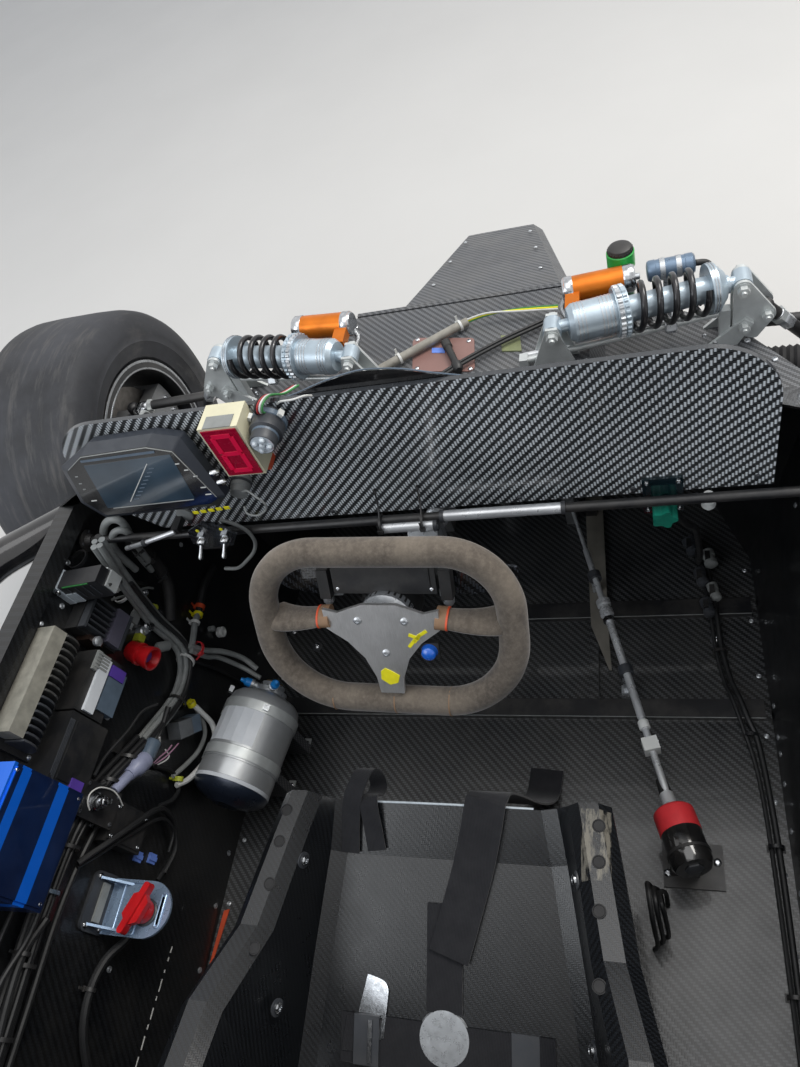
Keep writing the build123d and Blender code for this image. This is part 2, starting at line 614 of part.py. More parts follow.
def roll_hoop():
    foot, waist = TUB_HALF - HOOP_R - 6, wall_y(HOOP_X, 560, outside=False) - HOOP_R - 6 - RAIL
    hoop = tube([(HOOP_X, -foot, FLOOR_TOP + 6), (HOOP_X, -waist, 580), (HOOP_X, -235, HOOP_TOP),
                 (HOOP_X, 235, HOOP_TOP), (HOOP_X, waist, 580), (HOOP_X, foot, FLOOR_TOP + 6)],
                HOOP_R, [150, 120, 120, 150])
    for side in (-1, 1):
        y = side * foot
        hoop += block(HOOP_X - 23, HOOP_X + 30, y - 26, y + 26, FLOOR_TOP, FLOOR_TOP + 10)
        hoop += rod(*brace_line(side), BRACE_R)
    keep("roll_hoop", hoop)
    rail_front = FIREWALL_X - FIREWALL_THICK
    frame = rod((-1200, -FRAME_Y, FRAME_Z), (-1200, FRAME_Y, FRAME_Z), FRAME_R - 2)
    for side in (-1, 1):
        frame += rod((rail_front, side * FRAME_Y, FRAME_Z), (-1330, side * FRAME_Y, FRAME_Z), FRAME_R)
        frame += block(-670, -610, side * FRAME_Y - 20, side * FRAME_Y + 20, FRAME_Z, BRACE_FOOT_Z)
        for low in damper_ears(REAR_DAMPER_IN[0]):
            ear = [(FRAME_Y, FRAME_Z), (FRAME_Y + 12, FRAME_Z + 2), (REAR_DAMPER_IN[1] + 9, REAR_DAMPER_IN[2] + 8),
                   (REAR_DAMPER_IN[1] - 6, REAR_DAMPER_IN[2] + 12), (FRAME_Y - 8, FRAME_Z + 12)]
            frame += cross_plate([(side * y, z) for y, z in ear], low, low + PLATE_THICK)
    keep("engine_frame", frame)


def tub_envelope():
    """Everything inboard of the left wall's outer face, carried on upwards."""
    sections = []
    height = 200 + RAIL_TOP - FLOOR_TOP
    for x, half, lean, _ in WALL_STATIONS:
        foot = half + WALL_THICK
        shift = 100 if x == FIREWALL_X else 0
        points = [(0, FLOOR_TOP), (foot, FLOOR_TOP), (foot + lean * height, FLOOR_TOP + height), (0, FLOOR_TOP + height)]
        sections.append(Plane.YZ.offset(x - shift) * outline(points))
    return loft(sections, ruled=True)


def side_tubes():
    bends = [(1000, 60, 560), (855, 180, 600), (420, 220, 600), (40, 200, 600), (-50, 60, 585)]
    whole = tube([(x, TUB_HALF + out, z) for x, out, z in bends], SIDE_TUBE_R, [120, 300, 110])
    keep("side_tubes", *both(whole - Pos(0, SEAT_GAP, 0) * tub_envelope()))


# Seat bucket: columns are X, Z of the bottom, lean of the opening from upright in degrees, depth, half width, skirt
SEAT_STATIONS = [
    (655, 316, 0, 42, 205, 38),
    (600, 281, 2, 80, 214, 60),
    (480, 232, 6, 132, 232, 90),
    (300, 160, 25, 260, 256, 120),
    (130, 300, 62, 225, 262, 90),
    (20, 560, 74, 130, 232, 60),
    (-14, 790, 80, 66, 150, 30),
]
SEAT_WALL = 6
BOLSTER = 50
STRAP_THICK = 3


def seat_plane(station):
    """Across and up the seat at one station, from the middle of its underside."""
    x, z, lean = station[:3]
    up = Vector(sin(radians(lean)), 0, cos(radians(lean)))
    return Plane(origin=(x, 0, z), x_dir=(0, 1, 0), z_dir=Vector(0, 1, 0).cross(up))


def seat_section(station):
    """Sheet section: flat pan, rising side, rounded bolster and a skirt that hangs outside."""
    depth, half, skirt = station[3:]
    side = half - BOLSTER
    foot, wall = side - 34, SEAT_WALL
    rise = depth - 16
    inside = [(half - wall, depth - skirt), (half - wall, depth - 17), (half - 17, depth - wall),
              (side + 17, depth - wall), (side + wall, rise), (foot + 26, 9), (foot + 3, 0)]
    outside = [(foot, wall), (foot + 20, 15), (side, rise), (side + 14, depth), (half - 14, depth),
               (half, depth - 14), (half, depth - skirt)]
    under = [(-y, z) for y, z in reversed(inside)]
    over = [(-y, z) for y, z in reversed(outside)]
    return seat_plane(station) * outline(over + outside + inside + under)


def seat_shell():
    shell = loft([seat_section(station) for station in SEAT_STATIONS], ruled=True)
    for x, top in ((480, 234), (300, 164)):
        for y in (-100, 100):
            shell += block(x - 8, x + 8, y - 12, y + 12, FLOOR_TOP, top)
    slot = [(300, 252), (312, 240), (336, 240), (348, 252), (348, 318), (336, 330), (312, 330), (300, 318)]
    keep("seat_shell", shell - side_plate(slot, -400, 400))


def pan_point(start, share, height):
    """Point above the middle of the pan, between the station at start and the next one."""
    ends = [seat_plane(station).from_local_coords((0, height, 0)) for station in SEAT_STATIONS[start:start + 2]]
    spot = ends[0] + (ends[1] - ends[0]) * share
    return spot.X, spot.Z


def strap(places, y_low, y_high):
    """Band that lies on the pan along the car. places are (station, share of the way to the next one)."""
    low, high = SEAT_WALL + SEAT_GAP, SEAT_WALL + SEAT_GAP + STRAP_THICK
    under = [pan_point(start, share, low) for start, share in places]
    over = [pan_point(start, share, high) for start, share in places]
    return side_plate(under + over[::-1], y_low, y_high)


def harness():
    shoulder = strap([(5, 0.98), (5, 0), (4, 0), (3, 0), (2, 0.62)], 12, 58)
    lap = strap([(2, 0.56), (2, 0.28)], -130, 130)
    crotch = strap([(2, 0.22), (2, 0), (1, 0.4)], -22, 22)
    keep("harness", *both(shoulder), lap, crotch)


def pedals():
    pieces = []
    for y in (-110, 20):
        arm = side_plate([(1360, FLOOR_TOP), (1384, FLOOR_TOP), (1372, 180), (1352, 235), (1344, 235), (1352, 170)], y - 8, y + 8)
        pieces.append(arm + block(1334, 1346, y - 35, y + 35, 190, 262))
    keep("pedals", *pieces)


def instruments():
    tilt = radians(DISPLAY_TILT)
    face = Plane(origin=DISPLAY_FOOT, x_dir=(0, -1, 0), z_dir=(-cos(tilt), 0, sin(tilt)))
    face = face.rotated((0, 0, -DISPLAY_ROLL))
    half = [(70, -6), (100, 24), (102, 68), (56, 106)]
    front = outline(half + [(-x, y) for x, y in reversed(half)])
    body = face * extrude(fillet(front.vertices(), 7), -DISPLAY_DEPTH)
    stalk = block(918, DASH_X, DISPLAY_FOOT[1] - 40, DISPLAY_FOOT[1] + 40, 672, 706)
    keep("dash_display", body + stalk)
    keep("gear_indicator", block(910, DASH_X, *INDICATOR_Y, 678, 757))
    lamp_y = INDICATOR_Y[0] - LAMP_R - 6
    lamp = disc((925, lamp_y, 731), (1, 0, 0), LAMP_R, 40) + disc((936, lamp_y, 731), (1, 0, 0), LAMP_R + 4, 28)
    tube_x, tube_z = CROSS_TUBE_X, CROSS_TUBE_Z
    panel = [(228, 592), (262, 610), (307, 590), (331, 530), (300, 516), (240, 530)]
    plate = cross_plate(panel, 903, 906)
    plate += block(906, tube_x, 262, 298, tube_z - 9, tube_z + 9)
    plate -= rod((tube_x, 200, tube_z), (tube_x, 400, tube_z), CROSS_TUBE_R + SEAT_GAP)
    for y in (254, 292):
        plate += disc((899, y, 566), (1, 0, 0), 8, 8) + rod((897, y, 566), (876, y, 560), 3.5)
    knob_y = -286
    knob = disc((932, knob_y, 510), (1, 0, 0), 17, 28)
    knob += block(DASH_X - 4, DASH_X, knob_y - 25, knob_y + 25, 488, DASH_BOTTOM + 34)
    keep("dash_switches", lamp, plate, knob)


LOOM_R = 13
FRONT_LOOM_R = 9
LEFT_WALL = Plane(origin=(0, TUB_HALF, FLOOR_TOP), x_dir=(1, 0, 0), z_dir=(0, -1, WALL_LEAN))
# Boxes on the left wall: columns are name, X low, X high, height low, height high, depth
WALL_BOXES = [
    ("heat_sink", 632, 800, 440, 518, 42),
    ("finned_box", 804, 862, 395, 472, 34),
    ("lamp_driver", 838, 868, 478, 518, 84),
    ("grey_module", 703, 788, 372, 436, 40),
    ("black_module", 606, 700, 372, 436, 40),
    ("striped_box", 466, 600, 410, 518, 80),
    ("junction_plate", 576, 630, 236, 306, 26),
]


def wall_boxes():
    pieces = []
    for _, x_low, x_high, low, high, depth in WALL_BOXES:
        box = Pos((x_low + x_high) / 2, (low + high) / 2, depth / 2) * Box(x_high - x_low, high - low, depth)
        pieces.append(LEFT_WALL * box)
    keep("control_boxes", *pieces)
    keep("isolator_switch", isolator())


def isolator():
    """Shelf bracket on the left wall with a rounded end and a rotary key on it."""
    x_low, x_high, z, reach = 472, 547, 300, 100
    middle = (x_low + x_high) / 2
    back = wall_y(middle, z - 4, outside=False) - SEAT_GAP
    tip = back - reach
    shelf = block(x_low, x_high, tip + 35, back, z - 4, z)
    shelf += Pos(middle, tip + 35, z - 2) * Cylinder(35, 4)
    shelf = shelf & block(x_low, x_high, tip, back, z - 4, z)
    top = z + 34
    lean = WALL_LEAN * 38
    flange = [(back, z - 4), (back - 4, z - 4), (back - 4 + lean, top), (back + lean, top)]
    shelf += cross_plate(flange, x_low, x_high)
    key_y = tip + 34
    shelf += Pos(middle - 4, key_y, z - 14) * Cylinder(19, 20) + Pos(middle - 4, key_y, z + 11) * Cylinder(13, 22)
    return shelf + Pos(middle - 4, key_y, z + 26) * Rot(0, 0, -20) * Box(66, 10, 14)


def fire_bottle():
    z, front_x, rear_x = 195, 885, 680
    rear_y = wall_y(rear_x, z, outside=False) - BOTTLE_R - SEAT_GAP
    front_y = rear_y - 34
    start, end = (front_x, front_y, z), (rear_x, rear_y, z)
    length = (Vector(*end) - Vector(*start)).length
    shape = [(0, 0), (0, 16), (14, 16), (20, 40), (40, BOTTLE_R), (length - 40, BOTTLE_R), (length - 12, 44),
             (length, 20), (length, 0)]
    bottle = turned(shape, start, end)
    saddles = []
    for x in (748, 823):
        y = front_y + (rear_y - front_y) * (front_x - x) / (front_x - rear_x)
        saddle = block(x - 8, x + 8, y - 34, y + 34, FLOOR_TOP, z)
        saddles.append(saddle - rod(start, end, BOTTLE_R + SEAT_GAP))
    keep("fire_bottle", bottle, *saddles)


def looms():
    # columns are X and Z of the points where the main loom is clipped along the left wall
    clips = [(893, 400), (880, 322), (815, 300), (720, 340), (610, 398), (500, 413), (347, 405), (180, 392), (20, 386)]
    stand_off = (LOOM_R + SEAT_GAP) * sqrt(1 + WALL_LEAN ** 2)
    route = [(893, 426, 600), (893, 444, 500)]
    route += [(x, wall_y(x, z, outside=False) - stand_off, z) for x, z in clips]
    main = tube(route, LOOM_R, [60, 60, 60, 60, 90, 90, 90, 120, 150])
    lying = HUMP_TOP + FRONT_LOOM_R + SEAT_GAP
    front = tube([(1206, 60, lying), (1250, 6, lying + 8), (1296, -66, lying + 14), (1338, -140, lying)],
                 FRONT_LOOM_R, [40, 60])
    keep("wiring_looms", main, front)


def gear_linkage():
    rear = (640, -292, 165)
    body = rod((716, -270, 148), rear, 27)
    shift = rod((1180, -150, 112), (716, -270, 148), 7)
    foot = block(655, 685, -300, -262, FLOOR_TOP, 150)
    keep("gear_linkage", body + shift + foot)


def brake_ducts():
    x, z = 1262, 424
    root_y = wall_y(x, z)
    start, end = (x, root_y - 12, z), (x - 16, root_y + 126, z + 8)
    length = (Vector(*end) - Vector(*start)).length
    pitch, profile = 9, [(0, 20), (0, DUCT_R - 3)]
    count = int(length // pitch)
    for turn in range(count):
        profile += [((turn + 0.5) * pitch, DUCT_R), ((turn + 1) * pitch, DUCT_R - 3)]
    profile += [(count * pitch, 20)]
    duct = turned(profile, start, end) - Pos(0, SEAT_GAP, 0) * tub_envelope()
    keep("brake_ducts", *both(duct))


def engine():
    rear_face = FIREWALL_X - FIREWALL_THICK
    keep("engine_block", block(rear_face - ENGINE_LENGTH, rear_face, -ENGINE_HALF, ENGINE_HALF, ENGINE_BOTTOM, ENGINE_TOP))
    x0 = rear_face - ENGINE_LENGTH
    x1 = REAR_AXLE_X
    sections = []
    tail = GEARBOX_TAIL_HALF
    for x, half, low, high in ((x0, 140, 110, 470), (x0 - 260, tail, 180, 400), (x1 - 200, tail, 200, 390)):
        sections.append(Plane.YZ.offset(x) * outline([(-half, low), (half, low), (half, high), (-half, high)]))
    box = loft(sections, ruled=True) + disc((x1, 0, REAR_TYRE_R), (0, 1, 0), 105, 2 * GEARBOX_SIDE)
    keep("gearbox", box)
    pipe = tube([(x0 + 130, -204, 350), (x0 - 80, -204, 350), (x0 - 360, -170, 482), (x1 - 300, -170, 500)], 26,
                [120, 160])
    pipe += rod((x0 + 90, -ENGINE_HALF, 350), (x0 + 90, -205, 350), 22)
    keep("exhaust", pipe)


def pod_section(x, top, outer):
    """Sheet section of a side pod: top and outer side, open to the tub."""
    inner_x = max(x, FIREWALL_X)
    inner = wall_y(inner_x, min(top, RAIL_TOP)) + SEAT_GAP
    bend = 110
    base = FLOOR_TOP
    mid = bend * (1 - cos(radians(45)))
    top_line = Line((inner, top), (outer - bend, top))
    arc_out = ThreePointArc((outer - bend, top), (outer - mid, top - mid), (outer, top - bend))
    side = Line((outer, top - bend), (outer, base))
    foot = Line((outer, base), (outer - SKIN, base))
    side_in = Line((outer - SKIN, base), (outer - SKIN, top - bend))
    mid_in = (outer - bend + (bend - SKIN) * cos(radians(45)), top - bend + (bend - SKIN) * cos(radians(45)))
    arc_in = ThreePointArc((outer - SKIN, top - bend), mid_in, (outer - bend, top - SKIN))
    top_in = Line((outer - bend, top - SKIN), (inner, top - SKIN))
    close = Line((inner, top - SKIN), (inner, top))
    return Plane.YZ.offset(x) * make_face([top_line, arc_out, side, foot, side_in, arc_in, top_in, close])


def side_pods():
    stations = [(POD_REAR_X, DECK_Z, BODY_HALF), (FIREWALL_X, DECK_Z, BODY_HALF), (500, 480, BODY_HALF - 10),
                (POD_FRONT_X, 380, BODY_HALF - 60)]
    left = loft([pod_section(*station) for station in stations], ruled=True)
    keep("side_pods", *both(left))
    outer = BODY_HALF - RADIATOR_GAP
    inner = wall_y(0, RADIATOR_TOP) + RADIATOR_GAP / 2
    slope = [(120, FLOOR_TOP), (180, FLOOR_TOP), (330, RADIATOR_TOP), (270, RADIATOR_TOP)]
    core = side_plate(slope, inner, outer)
    keep("radiators", *both(core))


def rear_deck():
    inner, outer = REAR_TRACK / 2 - 180, REAR_TRACK / 2 + REAR_TYRE_W / 2
    x0, tail = POD_REAR_X - SEAT_GAP, -1600
    top = REAR_TYRE_R * 2 + 60
    profile = [(x0, 90), (x0, DECK_Z), (x0 - 130, top - 20), (x0 - 260, top), (x0 - 460, top), (x0 - 640, top - 40),
               (tail, DECK_Z), (tail, 300)]
    skin = [(x0 - SKIN, 80), (x0 - SKIN, DECK_Z - 2), (x0 - 132, top - 24), (x0 - 261, top - SKIN), (x0 - 459, top - SKIN),
            (x0 - 638, top - 44), (tail + SKIN, DECK_Z - 3), (tail + SKIN, 290)]
    fender = side_plate(profile, inner, outer) - side_plate(skin, inner + SKIN, outer - SKIN)
    fender -= block(tail + SKIN, x0 - SKIN, inner, inner + SKIN, 0, DECK_Z - SKIN)
    fender -= disc((REAR_AXLE_X, outer, REAR_TYRE_R), (0, 1, 0), REAR_TYRE_R + 38, 60)
    keep("rear_fenders", *both(fender))
    rear = FIREWALL_X - FIREWALL_THICK - SEAT_GAP
    edge = wall_y(FIREWALL_X, DECK_Z)
    panel_half = [(rear, edge), (x0, edge), (x0, inner), (tail, inner)]
    panel = flat_plate(symmetric(panel_half), DECK_Z - SKIN, DECK_Z)
    cover_stations = [(rear - 60, 185, 950), (-520, 200, 860), (-1000, 160, 730), (tail + 40, 80, 590)]
    outer_cover = []
    inner_cover = []
    for x, half, crown in cover_stations:
        outer_cover.append(cover_section(x, half, crown, DECK_Z))
        inner_cover.append(cover_section(x, half - SKIN, crown - SKIN, DECK_Z - SKIN))
    hump = loft(outer_cover, ruled=True)
    hollow = loft(inner_cover, ruled=True)
    deck = panel + hump - hollow
    for side in (-1, 1):
        deck -= rod(*brace_line(side), BRACE_R + 4)
        slot_y = side * (PYLON_Y + PYLON_THICK / 2)
        deck -= block(-1490, -1355, slot_y - 8, slot_y + 8, DECK_Z - 40, DECK_Z + 120)
    keep("rear_deck", deck)


def cover_section(x, half, crown, base):
    shoulder = base + (crown - base) * 0.55
    top = ThreePointArc((-half * 0.9, shoulder), (0, crown), (half * 0.9, shoulder))
    sides = Polyline((half * 0.9, shoulder), (half, base), (-half, base), (-half * 0.9, shoulder))
    return Plane.YZ.offset(x) * make_face([top, sides])


def rear_wing():
    lead_x = WING_TAIL_X + WING_CHORD + 60
    tail = lead_x - WING_CHORD
    top = ThreePointArc((lead_x, WING_Z - 20), (lead_x - 150, WING_Z - 14), (tail, WING_Z + 34))
    low = ThreePointArc((tail, WING_Z + 30), (lead_x - 110, WING_Z - 52), (lead_x, WING_Z - 20))
    end = Line(top @ 1, low @ 0)
    main = extrude(Plane.XZ.offset(-WING_HALF) * make_face([top, end, low]), 2 * WING_HALF)
    flap_lead, flap_tail = tail + 14, WING_TAIL_X + 8
    f_top = ThreePointArc((flap_lead, WING_Z + 40), ((flap_lead + flap_tail) / 2, WING_Z + 58), (flap_tail, WING_Z + 88))
    f_low = ThreePointArc((flap_tail, WING_Z + 85), ((flap_lead + flap_tail) / 2, WING_Z + 46), (flap_lead, WING_Z + 40))
    flap = extrude(Plane.XZ.offset(-WING_HALF) * make_face([f_top, Line(f_top @ 1, f_low @ 0), f_low]), 2 * WING_HALF)
    plate = side_plate([(lead_x + 50, WING_Z - 40), (lead_x + 30, WING_Z + 40), (WING_TAIL_X, WING_Z + 90),
                        (WING_TAIL_X, WING_Z - 160), (lead_x - 60, WING_Z - 160)], WING_HALF, WING_HALF + ENDPLATE_THICK)
    keep("rear_wing", main + flap + plate + mirror(plate, about=Plane.XZ))
    top_z = WING_Z - 52.5
    pylon = side_plate([(-1235, 330), (-1320, 320), (-1320, 380), (-1640, top_z), (-1592, top_z), (-1500, 700),
                        (-1235, 380)], PYLON_Y, PYLON_Y + PYLON_THICK)
    keep("wing_pylons", *both(pylon))


def diffuser():
    x0, x1 = -960, -1560
    half = 460
    sheet = side_plate([(x0, 45), (x1, 200), (x1, 206), (x0, 51)], -half, half)
    for y in (-half, -155, 149, half - 6):
        sheet += side_plate([(x0, 45), (x1, 70), (x1, 206), (x0, 51)], y, y + 6)
    keep("diffuser", sheet)


def rear_suspension():
    z = REAR_TYRE_R
    y_out = REAR_UPRIGHT_Y - BALL_R - SEAT_GAP
    lower = wishbone((REAR_AXLE_X, y_out, z - 104), [(-880, 190, z - 100), (-1290, 190, z - 100)])
    x, y, eye_z = REAR_DAMPER_OUT
    for low in damper_ears(x):
        ear = [(y - 30, z - 103), (y + 30, z - 103), (y + 9, eye_z + 10), (y - 9, eye_z + 10)]
        lower += cross_plate(ear, low, low + PLATE_THICK)
    lower += block(x - EYE_R - PLATE_THICK, x + EYE_R + PLATE_THICK, y - 30, y + 30, z - 108, z - 98)
    upper = wishbone((REAR_AXLE_X, y_out, z + 112), [(-880, FRAME_Y + FRAME_R + BALL_R + SEAT_GAP, FRAME_Z),
                                                      (-1290, FRAME_Y + FRAME_R + BALL_R + SEAT_GAP, FRAME_Z)])
    keep("rear_wishbones", *both(lower), *both(upper))


def build():
    for make in (floor_pan, side_walls, bulkheads, footbox_cover, crash_box, scuttle_cowl, dash_panel, cross_tube,
                 steering, steering_rack, front_wheels, rear_wheels, front_suspension, front_dampers, roll_hoop,
                 fluid_reservoirs, side_tubes, seat_shell, harness, pedals, instruments, wall_boxes, fire_bottle, looms,
                 gear_linkage, brake_ducts, engine, side_pods, rear_deck, rear_wing, diffuser, rear_suspension):
        make()
    os.makedirs("parts", exist_ok=True)
    for name, shape in NODES.items():
        export_step(shape, f"parts/{name}.step")


build()
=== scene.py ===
"""Looks of the open sports prototype race car: materials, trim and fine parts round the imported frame.

Sizes in the tables below are millimetres in the car's frame: +X forward, +Y left, +Z up.
The frame itself is in metres.
"""
import json
from math import cos, pi, radians, sin, tau

import bmesh
import bpy
from mathutils import Matrix, Vector

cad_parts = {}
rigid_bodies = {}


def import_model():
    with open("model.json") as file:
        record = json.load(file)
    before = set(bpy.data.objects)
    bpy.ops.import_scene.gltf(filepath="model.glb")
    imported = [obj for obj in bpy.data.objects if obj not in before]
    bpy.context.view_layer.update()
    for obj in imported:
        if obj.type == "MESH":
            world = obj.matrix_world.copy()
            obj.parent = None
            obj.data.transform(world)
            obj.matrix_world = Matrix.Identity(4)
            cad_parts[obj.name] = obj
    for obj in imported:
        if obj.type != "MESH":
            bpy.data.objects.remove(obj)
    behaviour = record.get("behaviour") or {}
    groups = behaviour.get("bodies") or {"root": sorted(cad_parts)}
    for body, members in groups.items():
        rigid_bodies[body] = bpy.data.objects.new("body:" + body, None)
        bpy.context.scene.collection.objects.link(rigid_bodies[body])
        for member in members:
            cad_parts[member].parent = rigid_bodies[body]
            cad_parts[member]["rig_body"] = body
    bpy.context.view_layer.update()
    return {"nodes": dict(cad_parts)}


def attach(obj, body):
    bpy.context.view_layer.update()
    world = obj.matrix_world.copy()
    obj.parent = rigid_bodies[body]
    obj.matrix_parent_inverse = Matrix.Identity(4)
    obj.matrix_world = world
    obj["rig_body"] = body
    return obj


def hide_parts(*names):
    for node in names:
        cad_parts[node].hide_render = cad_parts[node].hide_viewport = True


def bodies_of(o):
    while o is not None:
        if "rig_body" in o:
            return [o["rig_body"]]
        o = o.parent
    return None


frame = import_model()
NODES = frame["nodes"]
MM = 0.001
AHEAD, LEFT, UP = Vector((1, 0, 0)), Vector((0, 1, 0)), Vector((0, 0, 1))
# heights of the floor and of the footbox cover, and where the dash panel's rear face stands
FLOOR, COVER_TOP, DASH = 60, 454, 950

# Camera, as solved from the photograph: its place in metres and two of its directions
CAMERA_SPOT = (0.350, -0.2766, 1.2896)
CAMERA_AHEAD = (0.5742, 0.3089, -0.7582)
CAMERA_RIGHT = (0.1357, -0.9491, -0.2839)
camera_data = bpy.data.cameras.new("camera")
camera_data.lens = 27.0
camera_data.sensor_width = 36.0
camera_data.sensor_fit = "AUTO"
camera_data.clip_start = 0.02
camera = bpy.data.objects.new("camera", camera_data)
bpy.context.scene.collection.objects.link(camera)
view = Vector(CAMERA_AHEAD).normalized()
right = Vector(CAMERA_RIGHT)
right = (right - view * right.dot(view)).normalized()
turned = Matrix((right, right.cross(view), -view)).transposed().to_4x4()
camera.matrix_world = Matrix.Translation(CAMERA_SPOT) @ turned
bpy.context.scene.camera = camera


# Materials
def rgb(code):
    """Linear colour from a six digit screen colour."""
    parts = [int(code[i:i + 2], 16) / 255 for i in (0, 2, 4)]
    return tuple(c / 12.92 if c <= 0.04045 else ((c + 0.055) / 1.055) ** 2.4 for c in parts) + (1.0,)


class Paint:
    """One procedural material, with short calls for its nodes. Its coordinates are the car's, in metres."""

    def __init__(self, name, **sockets):
        """Start a material, with values for some of its shader's sockets."""
        self.material = bpy.data.materials.new(name)
        self.material.use_nodes = True
        self.tree = self.material.node_tree
        self.shader = self.tree.nodes["Principled BSDF"]
        for key, value in sockets.items():
            self.shader.inputs[key.replace("_", " ")].default_value = value
        self.place = self.tree.nodes.new("ShaderNodeTexCoord")

    def feed(self, socket, value):
        """Link a socket to a socket, or give it a plain value."""
        if isinstance(value, bpy.types.NodeSocket):
            self.tree.links.new(value, socket)
        else:
            socket.default_value = value

    def set(self, key, value):
        """Feed one of the shader's own sockets."""
        self.feed(self.shader.inputs[key], value)

    def split(self, output="Object"):
        """X, Y and Z of the coordinates, or of the normal."""
        node = self.tree.nodes.new("ShaderNodeSeparateXYZ")
        self.tree.links.new(self.place.outputs[output], node.inputs[0])
        return node.outputs

    def calc(self, operation, *values):
        """One step of arithmetic."""
        node = self.tree.nodes.new("ShaderNodeMath")
        node.operation = operation
        for socket, value in zip(node.inputs, values):
            self.feed(socket, value)
        return node.outputs[0]

    def spread(self, value, low, high, to_low=0.0, to_high=1.0):
        """Value carried from low and high to two other ends, and held between them."""
        node = self.tree.nodes.new("ShaderNodeMapRange")
        for socket, number in zip(node.inputs, (value, low, high, to_low, to_high)):
            self.feed(socket, number)
        return node.outputs[0]

    def times(self, *values):
        """Product of all the values."""
        product = values[0]
        for value in values[1:]:
            product = self.calc("MULTIPLY", product, value)
        return product

    def total(self, *values):
        """Sum of all the values."""
        sum_so_far = values[0]
        for value in values[1:]:
            sum_so_far = self.calc("ADD", sum_so_far, value)
        return sum_so_far

    def wave(self, value, length):
        """Sine of a value with the given wave length."""
        return self.calc("SINE", self.times(value, tau / length))

    def mix(self, factor, a, b):
        """Colour a at 0 to colour b at 1."""
        node = self.tree.nodes.new("ShaderNodeMix")
        node.data_type = "RGBA"
        self.feed(node.inputs[0], factor)
        self.feed(node.inputs[6], a)
        self.feed(node.inputs[7], b)
        return node.outputs[2]

    def pick(self, factor, a, b):
        """a where factor is 1 and b where it is 0."""
        return self.total(self.times(factor, a), self.times(self.calc("SUBTRACT", 1.0, factor), b))

    def within(self, value, low, high):
        """1 between low and high, else 0."""
        return self.times(self.calc("GREATER_THAN", value, low), self.calc("LESS_THAN", value, high))

    def noise(self, scale, detail=3.0, stretch=(1, 1, 1), rough=0.55):
        """Cloudy noise from 0 to 1."""
        mapping = self.tree.nodes.new("ShaderNodeMapping")
        mapping.inputs["Scale"].default_value = stretch
        self.tree.links.new(self.place.outputs["Object"], mapping.inputs["Vector"])
        node = self.tree.nodes.new("ShaderNodeTexNoise")
        self.tree.links.new(mapping.outputs[0], node.inputs["Vector"])
        node.inputs["Scale"].default_value = scale
        node.inputs["Detail"].default_value = detail
        node.inputs["Roughness"].default_value = rough
        return node.outputs[0]

    def gloss(self, value, low, high):
        """Roughness that follows the middle of a noise."""
        self.set("Roughness", self.spread(value, 0.3, 0.7, low, high))

    def dusty(self, colour, gloss, size, detail, rough, start, dust, code, dull):
        """Colour and roughness with patches of dust laid over them."""
        cover = self.spread(self.noise(size, detail, rough=rough), start, 0.8, 0.0, dust)
        return self.mix(cover, colour, rgb(code)), self.total(gloss, self.times(cover, dull))

    def bump(self, height, distance, strength=1.0):
        """Relief, added to any that is there already."""
        node = self.tree.nodes.new("ShaderNodeBump")
        node.inputs["Distance"].default_value = distance
        node.inputs["Strength"].default_value = strength
        self.tree.links.new(height, node.inputs["Height"])
        if self.shader.inputs["Normal"].is_linked:
            self.tree.links.new(self.shader.inputs["Normal"].links[0].from_socket, node.inputs["Normal"])
        self.set("Normal", node.outputs[0])


def darker(base, share):
    """A linear colour made darker by a share of itself."""
    return tuple(c * (1 - share) for c in base[:3]) + (1.0,)


def finish(name, code, rough, metal=0.0, mottle=0.25, size=25.0, grain=0.03, grain_size=900.0, dust=0.0,
           **sockets):
    """Paint, plastic, rubber or metal: uneven tone and gloss, a fine grain, and perhaps dust."""
    p = Paint(name, Metallic=metal, **sockets)
    base = rgb(code)
    colour = p.mix(p.spread(p.noise(size, 5.0), 0.32, 0.68), darker(base, mottle), base)
    gloss = p.spread(p.noise(size * 2.3, 4.0), 0.3, 0.7, rough - 0.06, rough + 0.06)
    if dust:
        colour, gloss = p.dusty(colour, gloss, 9.0, 8.0, 0.7, 0.45, dust, "9c958b", 0.4)
    p.set("Base Color", colour)
    p.set("Roughness", gloss)
    p.bump(p.noise(grain_size, 2.0), grain * MM)
    return p.material


